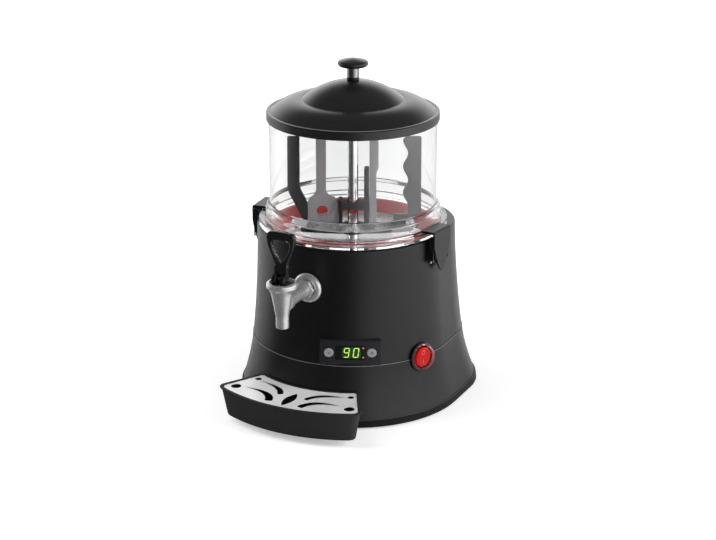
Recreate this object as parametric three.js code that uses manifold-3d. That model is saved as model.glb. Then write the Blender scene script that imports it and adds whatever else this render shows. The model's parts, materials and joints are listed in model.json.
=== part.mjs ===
// Counter-top hot chocolate dispenser: a stirred clear bowl over a heated pan, with a tap and a drip tray.
// Millimetres, +Z up, the tap at the front (-Y). Pieces are drawn about the bowl's axis and the whole
// machine is moved at the end, so that its origin is the middle of the floor that it covers.
import * as THREE from 'three';
import { mergeVertices } from 'three/addons/utils/BufferGeometryUtils.js';
import Module from 'manifold-3d';

const wasm = await Module();
wasm.setup();

// Fits that every piece shares
const gap = 0.3;
const overrun = 6;
const weldDistance = 0.0001;

// Facet counts
const roundFacets = 40;
const middleFacets = 24;
const smallFacets = 12;
const grateHoleFacets = 9;
const pinFacets = 6;
const cornerFacets = 3;
const edgeFacets = 2;
const rearCornerFacets = 5;
const wallRings = 4;
const flareRings = 5;
const innerRingSteps = 3;
const trayRings = 2;
const domeFacets = 4;
const crownFacets = 5;
const crescentFacets = 5;
const heaterSides = 8;
const heaterSteps = 30;
const pipeSteps = 12;
const springSides = 5;
const springTurnSteps = 8;
const waveSteps = 20;
const trayFrontFacets = 12;
const trayBackFacets = 10;

// Bowl and its seat
const bowlRadius = 113.6;
const bowlWall = 3;
const bowlHeight = 150.5;
const bowlRiserStep = 5.4;
const bowlFootStep = 9.5;
const bowlFootWall = 8.5;
const bowlFootEdge = 1.5;
const bowlRiserRise = 22.5;
const bowlShoulderRise = 7;
const seatClearance = 2;
const seatDepth = 3.4;
const seatLedge = 11;

// Housing, whose heights count from the floor up
const footRise = 2;
const plateRise = 10;
const plateFloor = 3;
const plateStep = 2.7;
const plateDraft = 1.4;
const plateRimWall = 5;
const skirtRise = 72;
const upperRise = 157.7;
const deckWall = 6.5;
const deckEdge = 2.1;
const shellWall = 3;
const wallFlare = 7.9;
const seamStep = 0.7;
const skirtFlare = 15.1;
const skirtLipRise = 5;
const skirtLipWall = 2;
const skirtLipDepth = 10;
const shoulderRadius = 3;
const footCornerShare = 0.66;
const topCornerShare = 0.79;
const wallCurvePower = 2;
const flarePower = 1.5;

// Feet and rear
const footRadius = 11;
const footSpigotRadius = 4;
const footPlaceX = 98;
const footPlaceY = 92;
const ventWidth = 4;
const ventLength = 30;
const ventPitch = 10;
const ventCount = 9;
const ventRise = 48.5;
const glandRise = 20.1;
const glandTilt = 15.1;
const glandFlangeRadius = 11;
const glandFlangeWall = 2.4;
const glandNoseRadius = 7;
const glandNoseLength = 4;
const glandBarrelRadius = 6;
const glandBarrelLength = 11;
const glandBoreRadius = 3.5;

// Heating pan, its gasket and the water bath
const panWall = 1.2;
const panDepth = 13.3;
const panLedge = 1;
const panConeWidth = 17;
const panFloorStep = 6;
const panConeRise = 11.3;
const gasketWall = 1.6;
const gasketInset = 0.5;
const bathClearance = 1.4;
const bathWall = 1.2;
const bathTopDrop = 3;
const bathDepth = 38;
const heaterRadius = 50;
const heaterTubeRadius = 4.2;
const heaterRise = 12;
const heaterLegDrop = 9;
const heaterOpeningAngle = 40;
const probeRadius = 6;
const probeRise = 7;
const probePlace = 34;
const outletRadius = 8;
const outletWall = 1.5;
const outletInset = 12;
const outletBend = 10;

// Shaft, tube and drive
const tubeRadius = 7.5;
const tubeWall = 1.3;
const tubeTopDrop = 29;
const tubeDrop = 4;
const shaftRadius = 4;
const shaftProud = 9;
const bushRise = 7;
const gearboxRadius = 35;
const gearboxRise = 22;
const gearboxBoreDepth = 15;
const motorRadius = 30;
const motorRise = 48;
const bracketDrop = 13.8;
const bracketWall = 3;
const bracketReach = 61;
const bracketWidth = 50;
const bracketToe = 18;
const bracketBoreRadius = 9;

// Stirrer, whose widths count from one blade's outer edge inwards and whose heights count from the arms up
const stirrerAzimuth = 116.5;
const stirrerWall = 2.5;
const armRise = 7;
const armWidth = 8;
const armInset = 12.2;
const armPlainInset = 18.6;
const hubLeft = 19.6;
const hubRight = 21.8;
const hubRise = 37;
const hubBandRise = 8.6;
const hubEarRise = 4;
const hubLegWidth = 5.5;
const hubPostWidth = 6.9;
const hubPostRise = 48;
const hubThickness = 20;
const legThickness = 10;
const plainBladeClearance = 22;
const plainBladeWidth = 16.6;
const plainBladeBendRise = 53;
const plainBladeFootWidth = 6;
const plainBladeFootRise = 11;
const bladeDrop = 8;
const wingInset = 27.6;
const wingRise = 48;
const wingStripOffset = 2.75;
const wingStripWidth = 13.6;
const wingSlotOffset = 1.3;
const wingSlotWidth = 15.5;
const wingSlotRise = 31;
const wingSlotFootShare = 0.62;
const stripProud = 5;
const stripWidth = 12.4;
const stripFootWidth = 9.7;
const stripStepDrop = 58;
const wavyBladeClearance = 18.4;
const wavyBladeCrestWidth = 24.8;
const wavyBladeValleyWidth = 17.9;
const wavyBladeFootWidth = 37.2;
const wavyBladeFootRise = 12.5;
const waveTopDrop = 5;
const waveFootRise = 31;
const waveCount = 2.5;
const capRoof = 2;
const capWidth = 10;
const capHubRadius = 9;

// Lid and knob
const lidRimWidth = 2.8;
const lidRimLap = 7;
const lidRimRise = 11.8;
const lidRimEdge = 1.5;
const lidFit = 0.6;
const lidWall = 2.5;
const lidDomeInset = 4.1;
const lidDomeFootRise = 0.8;
const lidStepRadiusShare = 0.59;
const lidStepRise = 15.7;
const lidDomeBulge = 4.7;
const lidCrownRise = 25;
const lidBoreRadius = 3.3;
const ferruleRadius = 8.4;
const ferruleRise = 3.4;
const knobStemRadius = 8.1;
const knobStemRise = 13.4;
const knobRadius = 20.7;
const knobRise = 11.6;
const knobEdgeShare = 0.42;
const knobEdgeBulge = 0.6;
const knobCrownBulge = 1.5;
const screwRadius = 3;
const screwHeadRadius = 6;
const screwHeadRise = 3.4;
const screwHeadClearance = 0.9;
const screwGrip = 5;

// Tap, whose heights count from its shank's axis
const tapDrop = 54.2;
const spoutOverhang = 70.3;
const tapFlangeRadius = 20.3;
const tapFlangeWall = 5.2;
const tapFlangeRimWall = 1.7;
const tapFlangeBulge = 1;
const tapFlangeFace = 13;
const shankRadius = 9;
const shankBoreRadius = 5;
const shankInnerLength = 14.6;
const collarRadius = 13;
const collarWall = 5;
const collarSides = 6;
const nutRadius = 14;
const nutWall = 5;
const nozzleDrop = 31.7;
const nozzleRise = 17.3;
const nozzleRadius = 8.5;
const nozzleBoreRadius = 6;
const nozzleEdge = 1.2;
const seatDrop = 8;
const chamberRadius = 8;
const chamberRise = 17;
const coneRise = 14.4;
const coneRadius = 14.1;
const cupRadius = 20.2;
const cupFlareRise = 10.1;
const cupFlareBulge = 0.9;
const cupRise = 6.5;
const cupBoreRadius = 16.2;
const cupEdge = 1.8;
const cupEdgeRise = 3.6;
const bonnetDrop = 4.3;
const bonnetRadius = 15.8;
const bonnetWall = 6;
const stemRadius = 2.5;
const stemEyeRadius = 4.5;
const tapSeatRadius = 7.4;
const tapSeatRise = 9;
const springRadius = 5.2;
const springWire = 0.7;
const springTurns = 4;
const pinRadius = 1.5;
const clevisGap = 6;
const clevisRoof = 0.6;
const camRadius = 8;
const camOffset = 5;
const camOuter = 9;
const handleWidth = 40;
const handleThickness = 8;
const handleNeckWidth = 13;
const handleNeckRise = 15;
const handleFlareRise = 32;
const handleHeadRise = 16;
const handleEdge = 1.6;
const handleRounding = 7.7;
const loopWidth = 26;
const loopInset = 11;
const loopFootRise = 6.5;

// Control panel
const panelAzimuth = 25;
const panelRise = 0.8;
const bezelWidth = 80;
const bezelHeight = 33;
const bezelWall = 1.8;
const bezelCorner = 3;
const surroundEdge = 1.2;
const surroundStep = 0.5;
const moduleInsetX = 5;
const moduleInsetZ = 2.5;
const moduleDepth = 24;
const windowWidth = 34;
const windowHeight = 17;
const buttonRadius = 6.2;
const buttonInset = 11.5;
const buttonProud = 0.9;
const buttonDepth = 2.6;
const buttonTravel = 0.8;
const boardWidth = 74;
const boardHeight = 40;
const boardWall = 1.6;

// Power switch
const switchAzimuth = 67.8;
const switchDrop = 0.5;
const switchTilt = 7;
const switchFlangeRadius = 20;
const switchFlangeWall = 3.2;
const switchBarrelRadius = 17.5;
const switchBarrelDepth = 16;
const switchCavityRadius = 15.2;
const switchCavityDepth = 10;
const rockerRadius = 13.8;
const rockerRise = 3.6;
const rockerDepth = 4;
const rockerTilt = 6;
const rockerStubRadius = 1.5;
const bootRadius = 17;
const bootWall = 1;
const bootRise = 7;
const bootShoulder = 3;

// Bowl clips
const clipAzimuth = 84;
const clipWidth = 42;
const clipLength = 42.2;
const clipPivotRise = 13;
const clipPivotReach = 3.3;
const clipLugRadius = 3;
const clipLugClearance = 0.5;
const clipWall = 2.5;
const clipHookWall = 3.2;
const clipHookClearance = 1.5;
const clipEarWall = 2.5;
const clipEarDrop = 3.3;
const clipWallClearance = 0.5;
const clipBaseWidth = 24;
const clipBaseRise = 9;
const clipBaseWall = 1.6;

// Drip tray
const trayReach = 63.7;
const trayLift = 7.5;
const trayRise = 40.5;
const trayDraft = 5.5;
const trayHalfAngle = 29.2;
const trayFootHalfAngle = 27.6;
const trayWall = 2.4;
const trayFloor = 2.4;
const trayLip = 1.6;
const trayLipRise = 3;
const trayClearance = 2;
const trayCorner = 12;
const trayLedge = 2.2;
const trayLedgeDrop = 2.3;
const trayLedgeRise = 6.6;
const trayHookPlace = 42;
const trayHookWidth = 10;
const trayHookWall = 3;
const trayHookRise = 25;
const trayHookLength = 9;
const grateWall = 1.2;
const grateHoleRadiusShare = 0.1;
const grateSmallHoleRadiusShare = 0.065;
const grateHoleShares = { across: 0.86, along: 0.74 };
const grateSmallHoleShares = { across: 0.87, along: 0.22 };
const leafShares = { foot: 0.28, tip: 0.88, half: 0.078 };
// Crescent corners as shares of the tray's half angle (across) and of its depth from body to front (along).
const outerCrescentShares = {
  tip: [0.78, 0.66],
  backPull: [0.31, 0.34],
  backEnd: [0.175, 0.78],
  frontEnd: [0.265, 0.85],
  frontPull: [0.38, 0.5],
};
const innerCrescentShares = {
  tip: [0.84, 0.27],
  backPull: [0.3, 0.06],
  backEnd: [0.17, 0.43],
  frontEnd: [0.245, 0.5],
  frontPull: [0.36, 0.22],
};

// Finishes
const finishes = {
  satinBlack: { color: 0x262729, roughness: 0.42, metalness: 0 },
  glossBlack: { color: 0x101112, roughness: 0.18, metalness: 0 },
  rubber: { color: 0x1c1c1c, roughness: 0.85, metalness: 0 },
  clear: { color: 0xe9f0f2, roughness: 0.05, metalness: 0, transparent: true, opacity: 0.3 },
  smoked: { color: 0x121512, roughness: 0.1, metalness: 0 },
  redSilicone: { color: 0xc23a32, roughness: 0.5, metalness: 0 },
  redLens: { color: 0xc8141c, roughness: 0.2, metalness: 0 },
  steel: { color: 0xb9bbbd, roughness: 0.28, metalness: 1 },
  brushedSteel: { color: 0xcfd0d1, roughness: 0.4, metalness: 1 },
  satinNickel: { color: 0xb8b5b0, roughness: 0.36, metalness: 1 },
  bronze: { color: 0x9a7440, roughness: 0.4, metalness: 1 },
  zincPlate: { color: 0x9a9c9e, roughness: 0.45, metalness: 1 },
  greyPlastic: { color: 0xa4a6a8, roughness: 0.4, metalness: 0 },
  boardGreen: { color: 0x1f5a35, roughness: 0.5, metalness: 0 },
};

const degrees = (value) => THREE.MathUtils.degToRad(value);
const lerp = THREE.MathUtils.lerp;
const at = (x, y) => new THREE.Vector2(x, y);

// Widths, from the bowl outwards
const bowlBore = bowlRadius - bowlWall;
const bowlRiserRadius = bowlRadius + bowlRiserStep;
const bowlFootRadius = bowlRiserRadius + bowlFootStep;
const topHalfWidth = bowlFootRadius + deckEdge;
const seamHalfWidth = topHalfWidth + wallFlare;
const skirtTopHalfWidth = seamHalfWidth + seamStep;
const skirtFootHalfWidth = skirtTopHalfWidth + skirtFlare;
const plateHalfWidth = skirtFootHalfWidth + plateStep;
const seatRadius = bowlRiserRadius + seatClearance;
const deckBoreRadius = seatRadius - seatLedge;
const panConeTopRadius = deckBoreRadius - panLedge;
const panConeFootRadius = panConeTopRadius - panConeWidth;
const panFloorRadius = panConeFootRadius - panFloorStep;
const bathOuterRadius = deckBoreRadius - bathClearance;
const bathInnerRadius = bathOuterRadius - bathWall;
const outletPlace = panFloorRadius - outletInset;
const trayRimReach = skirtFootHalfWidth + trayReach;
const trayFootReach = trayRimReach - trayDraft;

// Heights, from the floor to the deck
const plateTop = footRise + plateRise;
const seamHeight = plateTop + skirtRise;
const deckHeight = seamHeight + upperRise;
const ventHeight = seamHeight + ventRise;
const glandHeight = plateTop + glandRise;
const trayFoot = footRise + trayLift;
const trayRimHeight = trayFoot + trayRise;
const trayHookHeight = trayFoot + trayHookRise;
const grateSeat = trayRimHeight - trayLedgeDrop;
const panelHeight = seamHeight + panelRise + surroundEdge + bezelHeight / 2;
const switchHeight = seamHeight - switchDrop;

// Heights of the heated seat, the drive and the bowl
const seatFloor = deckHeight - seatDepth;
const panFlangeTop = seatFloor + gap + panWall;
const panFloorTop = panFlangeTop - panDepth;
const bathTop = panFlangeTop - bathTopDrop;
const bathFloorTop = bathTop - bathDepth;
const tubeFoot = bathFloorTop - bathWall - tubeDrop;
const bracketHeight = tubeFoot - bracketDrop;
const gearboxTop = bracketHeight - gap;
const bowlSeat = deckHeight + gap;
const bowlFootTop = bowlSeat + bowlFootWall;
const bowlRimHeight = bowlSeat + bowlHeight;

// Heights and widths of the stirrer
const armFoot = panFloorTop + armRise;
const bladeFoot = armFoot + armRise + gap;
const hubTop = armFoot + hubRise;
const tubeTopHeight = bowlRimHeight - tubeTopDrop;
const shaftTopHeight = tubeTopHeight + shaftProud;
const stripTop = tubeTopHeight + stripProud;
const bladeTop = stripTop - bladeDrop;
const plainBladeOuter = bowlBore - plainBladeClearance;
const plainBladeInner = plainBladeOuter - plainBladeWidth;
const armLeft = plainBladeOuter - armPlainInset;
const wingLeft = plainBladeOuter - wingInset;
const wingRight = hubLeft + gap;
const wingMiddle = (wingLeft + wingRight) / 2;
const wingStripLeft = wingMiddle + wingStripOffset + wingStripWidth / 2;
const wavyBladeOuter = bowlBore - wavyBladeClearance;
const armRight = wavyBladeOuter - armInset;

// Heights of the lid and its knob
const lidRadius = bowlRadius + lidRimWidth;
const lidDomeRadius = bowlRadius - lidDomeInset;
const lidStepRadius = bowlRadius * lidStepRadiusShare;
const lidRimFoot = bowlRimHeight - lidRimLap;
const lidRimTop = lidRimFoot + lidRimRise;
const lidStepHeight = lidRimTop + lidStepRise;
const lidApexHeight = lidStepHeight + lidCrownRise;
const ferruleFoot = lidApexHeight + gap;
const knobStemFoot = ferruleFoot + ferruleRise + gap;
const knobFoot = knobStemFoot + knobStemRise + gap;

// Places of the tap and its handle
const tapHeight = deckHeight - tapDrop;
const flangeSeatReach = wallHalfWidthAt(tapHeight - tapFlangeRadius) + gap;
const spoutReach = flangeSeatReach + spoutOverhang;
const shankInnerReach = flangeSeatReach - shankInnerLength;
const nozzleFoot = tapHeight - nozzleDrop;
const nozzleTop = nozzleFoot + nozzleRise;
const seatHeight = tapHeight - seatDrop;
const chamberTop = tapHeight + chamberRise;
const coneHeight = tapHeight + coneRise;
const cupFlareHeight = coneHeight + cupFlareRise;
const cupTop = cupFlareHeight + cupRise;
const bonnetTop = cupTop - bonnetDrop;
const pinHeight = bonnetTop + gap + camRadius;
const handleNeckHeight = pinHeight + handleNeckRise;
const handleShoulderHeight = handleNeckHeight + handleFlareRise;
const handleTop = handleShoulderHeight + handleHeadRise;

// Places on the wall
const clipFoot = deckHeight - clipLength;
const clipPivotHeight = clipFoot + clipPivotRise;
const clipReach = wallHalfWidthAt(clipFoot) + clipWallClearance;
const clipHookFoot = bowlFootTop + gap;
const clipHookTip = bowlRiserRadius + clipHookClearance;
const moduleWidth = bezelWidth - 2 * moduleInsetX;
const moduleHeight = bezelHeight - 2 * moduleInsetZ;
const buttonPlace = bezelWidth / 2 - buttonInset;
const panelSeatReach = wallHalfWidthAt(panelHeight - bezelHeight / 2) - bezelWall;
const switchReach = skirtTopHalfWidth + gap;
const panelPlace = { azimuth: panelAzimuth, reach: panelSeatReach, height: panelHeight };
const switchPlace = { azimuth: switchAzimuth, reach: switchReach, height: switchHeight, tilt: switchTilt };
const glandReach = skirtHalfWidthAt(glandHeight) + gap;
const glandPlace = { azimuth: 180, reach: glandReach, height: glandHeight, tilt: glandTilt };

// Half width of the upper housing at a height
function wallHalfWidthAt(height) {
  const drop = (deckHeight - height) / (deckHeight - seamHeight);
  return topHalfWidth + (seamHalfWidth - topHalfWidth) * drop ** wallCurvePower;
}

// Half width of the flared skirt at a height
function skirtHalfWidthAt(height) {
  const drop = Math.max(seamHeight - height, 0) / (seamHeight - plateTop);
  return skirtTopHalfWidth + (skirtFootHalfWidth - skirtTopHalfWidth) * drop ** flarePower;
}

// Radius of the rear corners as a share of the half width
function cornerShareAt(height) {
  return lerp(footCornerShare, topCornerShare, (height - plateTop) / (deckHeight - plateTop));
}

function arcPoints(centre, radius, from, to, steps) {
  return Array.from({ length: steps + 1 }, (_, step) => {
    const angle = lerp(from, to, step / steps);
    return at(centre.x + radius * Math.cos(angle), centre.y + radius * Math.sin(angle));
  });
}

// Arc from start to end that bulges to the right of the way it runs; a negative bulge goes to the left
function bulgedArc(start, end, bulge, steps) {
  const chord = end.clone().sub(start);
  const radius = (chord.lengthSq() / 4 + bulge ** 2) / (2 * bulge);
  const left = at(-chord.y, chord.x).normalize();
  const centre = start.clone().lerp(end, 0.5).addScaledVector(left, radius - bulge);
  const sweep = 2 * Math.asin(chord.length() / 2 / radius);
  return Array.from({ length: steps + 1 }, (_, step) =>
    start.clone().rotateAround(centre, (sweep * step) / steps));
}

// Closed shape through corners of the form [x, y, rounding]
function roundedShape(corners) {
  const shape = new THREE.Shape();
  corners.forEach(([x, y, rounding = 0], i) => {
    const corner = at(x, y);
    const before = at(...corners.at(i - 1).slice(0, 2)).sub(corner);
    const after = at(...corners[(i + 1) % corners.length].slice(0, 2)).sub(corner);
    const start = corner.clone().add(before.setLength(rounding));
    const end = corner.clone().add(after.setLength(rounding));
    if (i === 0) shape.moveTo(start.x, start.y);
    else shape.lineTo(start.x, start.y);
    if (rounding > 0) shape.quadraticCurveTo(x, y, end.x, end.y);
  });
  shape.closePath();
  return shape;
}

function rectangle(width, height, rounding = 0) {
  const x = width / 2;
  const y = height / 2;
  return roundedShape([[-x, -y, rounding], [x, -y, rounding], [x, y, rounding], [-x, y, rounding]]);
}

// Closed geometry through level rings with as many points each, the first and last ring closed over
function loft(rings) {
  const count = rings[0].length;
  const indices = [];
  for (let level = 0; level + 1 < rings.length; level++) {
    for (let i = 0; i < count; i++) {
      const a = level * count + i;
      const b = level * count + ((i + 1) % count);
      indices.push(a, b, b + count, a, b + count, a + count);
    }
  }
  const lastRing = (rings.length - 1) * count;
  for (const [a, b, c] of THREE.ShapeUtils.triangulateShape(rings[0], [])) indices.push(a, c, b);
  for (const face of THREE.ShapeUtils.triangulateShape(rings.at(-1), [])) {
    indices.push(...face.map((corner) => corner + lastRing));
  }
  const geometry = new THREE.BufferGeometry().setFromPoints(rings.flat());
  return geometry.setIndex(indices);
}

const raised = (points, height) => points.map((point) => new THREE.Vector3(point.x, point.y, height));

// Solid of revolution about Z; the outline runs counter-clockwise with [radius, height] points
function revolved(outline, facets = roundFacets) {
  const points = outline.map(([radius, height]) => at(radius, height));
  const closes = points[0].x > 0 || points.at(-1).x > 0;
  if (closes) points.push(points[0].clone());
  return new THREE.LatheGeometry(points, facets).rotateX(Math.PI / 2);
}

const pairs = (points) => points.map((point) => [point.x, point.y]);

// Round bar along Z from one height to another
function bar(radius, from, to, facets = smallFacets) {
  return revolved([[0, from], [radius, from], [radius, to], [0, to]], facets);
}

// Level slab of a shape drawn in X and Y
function slab(shape, from, to, curveSegments = cornerFacets) {
  const options = { depth: to - from, bevelEnabled: false, curveSegments };
  return new THREE.ExtrudeGeometry(shape, options).translate(0, 0, from);
}

// Slab of a shape drawn in X and Z, between two places along Y
function upright(shape, from, to, curveSegments = cornerFacets) {
  return slab(shape, -to, -from, curveSegments).rotateX(Math.PI / 2);
}

// Slab of a shape drawn in Y and Z, between two places along X
function sideways(shape, from, to, curveSegments = cornerFacets) {
  return slab(shape, from, to, curveSegments).rotateX(Math.PI / 2).rotateZ(Math.PI / 2);
}

function box(width, depth, from, to) {
  return slab(rectangle(width, depth), from, to);
}

// Points a round geometry that was made along +Z out of the front, along -Y
const outward = (geometry) => geometry.rotateX(Math.PI / 2);
// Points a round geometry that was made along +Z to the right, along +X
const rightward = (geometry) => geometry.rotateY(Math.PI / 2);

function solid(geometry) {
  const bare = geometry.clone();
  bare.deleteAttribute('normal');
  bare.deleteAttribute('uv');
  const merged = mergeVertices(bare, weldDistance);
  const corners = merged.index.array;
  const triangles = [];
  for (let i = 0; i < corners.length; i += 3) {
    const [a, b, c] = corners.subarray(i, i + 3);
    if (a !== b && b !== c && c !== a) triangles.push(a, b, c);
  }
  return new wasm.Manifold(new wasm.Mesh({
    numProp: 3,
    vertProperties: merged.attributes.position.array,
    triVerts: new Uint32Array(triangles),
  }));
}

const joined = (...geometries) => geometries.map(solid).reduce((sum, next) => sum.add(next));

function without(base, ...tools) {
  return tools.map(solid).reduce((rest, tool) => rest.subtract(tool), base);
}

function piece(name, body, finish) {
  const { vertProperties, triVerts } = (body.isBufferGeometry ? solid(body) : body).getMesh();
  const geometry = new THREE.BufferGeometry();
  geometry.setAttribute('position', new THREE.BufferAttribute(vertProperties, 3));
  geometry.setIndex(new THREE.BufferAttribute(triVerts, 1));
  geometry.computeVertexNormals();
  const mesh = new THREE.Mesh(geometry, new THREE.MeshStandardMaterial(finishes[finish]));
  mesh.name = name;
  return mesh;
}

// Group whose own -Y looks out of the wall at an azimuth, which counts from the front towards +X
function onWall({ azimuth, reach, height = 0, tilt = 0 }, ...pieces) {
  const turned = new THREE.Group();
  const seat = new THREE.Group();
  turned.rotation.z = degrees(azimuth);
  seat.position.set(0, -reach, height);
  seat.rotation.x = -degrees(tilt);
  seat.add(...pieces);
  turned.add(seat);
  return turned;
}

// The same place for a cutting geometry
function wallTool(geometry, { azimuth, reach, height = 0, tilt = 0 }) {
  return geometry.rotateX(-degrees(tilt)).translate(0, -reach, height).rotateZ(degrees(azimuth));
}

// Level outline of the housing: a half circle in front and a square with round corners behind
function housingRing(halfWidth, corner, height) {
  const side = halfWidth - corner;
  const quarter = Math.PI / 2;
  return raised([
    ...arcPoints(at(0, 0), halfWidth, -Math.PI, 0, roundFacets / 2),
    ...arcPoints(at(side, side), corner, 0, quarter, rearCornerFacets),
    ...arcPoints(at(-side, side), corner, quarter, Math.PI, rearCornerFacets),
  ], height);
}

// The same outline moved in from the outer wall
function insetRing(halfWidth, inset, height) {
  return housingRing(halfWidth - inset, halfWidth * cornerShareAt(height) - inset, height);
}

function heightSteps(from, to, steps) {
  return Array.from({ length: steps + 1 }, (_, step) => lerp(from, to, step / steps));
}

function panelCutters() {
  const pocket = upright(rectangle(bezelWidth + 2 * gap, bezelHeight + 2 * gap, bezelCorner), -overrun, 0);
  const opening = upright(rectangle(moduleWidth + 2 * gap, moduleHeight + 2 * gap), -overrun, overrun * 2);
  return [pocket, opening].map((tool) => wallTool(tool, panelPlace));
}

function switchCutter() {
  const radius = switchBarrelRadius + gap;
  return wallTool(outward(bar(radius, -switchBarrelDepth, overrun, middleFacets)), switchPlace);
}

function upperHousing() {
  const wallFoot = seamHeight + gap / 2;
  const shoulderFoot = deckHeight - shoulderRadius;
  const outerRings = heightSteps(wallFoot, shoulderFoot, wallRings).map((height) =>
    insetRing(wallHalfWidthAt(height), 0, height));
  const shoulder = arcPoints(at(-shoulderRadius, shoulderFoot), shoulderRadius, 0, Math.PI / 2, cornerFacets);
  for (const { x, y } of shoulder.slice(1)) {
    outerRings.push(insetRing(wallHalfWidthAt(y), -x, y));
  }
  const innerHeights = heightSteps(seamHeight - overrun, deckHeight - deckWall, innerRingSteps);
  const innerRings = innerHeights.map((height) =>
    insetRing(wallHalfWidthAt(height), shellWall, height));
  const surroundWidth = bezelWidth + 2 * surroundEdge;
  const surroundHeight = bezelHeight + 2 * surroundEdge;
  const surroundShape = rectangle(surroundWidth, surroundHeight, bezelCorner);
  const surround = upright(surroundShape, surroundStep - bezelWall, moduleDepth);
  const vents = Array.from({ length: ventCount }, (_, i) => {
    const place = (i - (ventCount - 1) / 2) * ventPitch;
    const slot = rectangle(ventWidth, ventLength, ventWidth / 2);
    const cutter = upright(slot, topHalfWidth - overrun - shellWall, seamHalfWidth + overrun);
    return cutter.translate(place, 0, ventHeight);
  });
  const shell = joined(loft(outerRings), wallTool(surround, panelPlace));
  return piece('upper_housing', without(
    shell,
    loft(innerRings),
    bar(seatRadius, seatFloor, deckHeight + overrun, roundFacets),
    bar(deckBoreRadius, deckHeight - deckWall - overrun, deckHeight + overrun, roundFacets),
    outward(bar(shankRadius + gap, shankInnerReach, spoutReach, middleFacets)).translate(0, 0, tapHeight),
    ...panelCutters(),
    switchCutter(),
    ...vents,
  ), 'satinBlack');
}

function lowerSkirt() {
  const foot = plateTop + gap;
  const top = seamHeight - gap / 2;
  const lipTop = seamHeight + skirtLipRise;
  const lipInset = seamStep + shellWall + 2 * gap;
  const outerRings = heightSteps(foot, top, flareRings).map((height) =>
    insetRing(skirtHalfWidthAt(height), 0, height));
  outerRings.push(insetRing(skirtTopHalfWidth, lipInset, top));
  outerRings.push(insetRing(skirtTopHalfWidth, lipInset, lipTop));
  const innerRings = heightSteps(foot - overrun, seamHeight - skirtLipDepth, innerRingSteps).map((height) =>
    insetRing(skirtHalfWidthAt(height), shellWall, height));
  const lipInner = lipInset + skirtLipWall;
  innerRings.push(insetRing(skirtTopHalfWidth, lipInner, seamHeight - skirtLipDepth + skirtLipWall));
  innerRings.push(insetRing(skirtTopHalfWidth, lipInner, lipTop + overrun));
  const slotShape = rectangle(trayHookWidth + 2 * gap, trayHookWall + 2 * gap);
  const slots = [-1, 1].map((side) =>
    upright(slotShape, -plateHalfWidth, shellWall - topHalfWidth)
      .translate(side * trayHookPlace, 0, trayHookHeight));
  const glandDepth = glandBarrelLength + overrun;
  const glandHole = outward(bar(glandBarrelRadius + gap, -glandDepth, overrun, smallFacets));
  return piece('lower_skirt', without(
    solid(loft(outerRings)),
    loft(innerRings),
    ...panelCutters(),
    switchCutter(),
    ...slots,
    wallTool(glandHole, glandPlace),
  ), 'satinBlack');
}

function basePlate() {
  const outer = loft([
    insetRing(plateHalfWidth, 0, footRise),
    insetRing(plateHalfWidth, plateDraft, plateTop),
  ]);
  const floorTop = footRise + plateFloor;
  const inner = loft([
    insetRing(plateHalfWidth, plateRimWall, floorTop),
    insetRing(plateHalfWidth, plateRimWall, plateTop + overrun),
  ]);
  const holes = footPlaces().map(({ x, y }) =>
    bar(footSpigotRadius + gap, footRise - overrun, floorTop + overrun).translate(x, y, 0));
  return piece('base_plate', without(solid(outer), inner, ...holes), 'satinBlack');
}

function footPlaces() {
  return [[-1, -1, 'front_left'], [1, -1, 'front_right'], [-1, 1, 'rear_left'], [1, 1, 'rear_right']]
    .map(([x, y, name]) => ({ x: x * footPlaceX, y: y * footPlaceY, name }));
}

function feet() {
  const collar = footRise - gap;
  const spigotTop = footRise + plateFloor;
  const outline = [
    [0, 0], [footRadius, 0], [footRadius, collar], [footSpigotRadius, collar],
    [footSpigotRadius, spigotTop], [0, spigotTop],
  ];
  return footPlaces().map(({ x, y, name }) => {
    const foot = piece(`foot_${name}`, revolved(outline, smallFacets), 'rubber');
    foot.position.set(x, y, 0);
    return foot;
  });
}

function cordGland() {
  const noseTop = glandFlangeWall + glandNoseLength;
  const outline = [
    [glandBoreRadius, -glandBarrelLength], [glandBarrelRadius, -glandBarrelLength], [glandBarrelRadius, 0],
    [glandFlangeRadius, 0], [glandFlangeRadius, glandFlangeWall], [glandNoseRadius, glandFlangeWall],
    [glandBarrelRadius, noseTop], [glandBoreRadius, noseTop],
  ];
  return onWall(glandPlace, piece('cord_gland', outward(revolved(outline, smallFacets)), 'rubber'));
}

function heatingPan() {
  const floorFoot = panFloorTop - panWall;
  const coneFoot = panFlangeTop - panConeRise;
  const rim = seatRadius - gap;
  const outline = [
    [tubeRadius + gap, floorFoot], [panFloorRadius + panWall / 2, floorFoot],
    [panConeFootRadius + panWall / 2, coneFoot - panWall],
    [panConeTopRadius + panWall / 2, panFlangeTop - panWall],
    [rim, panFlangeTop - panWall], [rim, panFlangeTop], [panConeTopRadius, panFlangeTop],
    [panConeFootRadius, coneFoot], [panFloorRadius, panFloorTop], [tubeRadius + gap, panFloorTop],
  ];
  const outlet = bar(outletRadius + gap, floorFoot - overrun, panFloorTop + overrun);
  outlet.translate(0, -outletPlace, 0);
  return piece('heating_pan', without(solid(revolved(outline)), outlet), 'steel');
}

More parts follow.
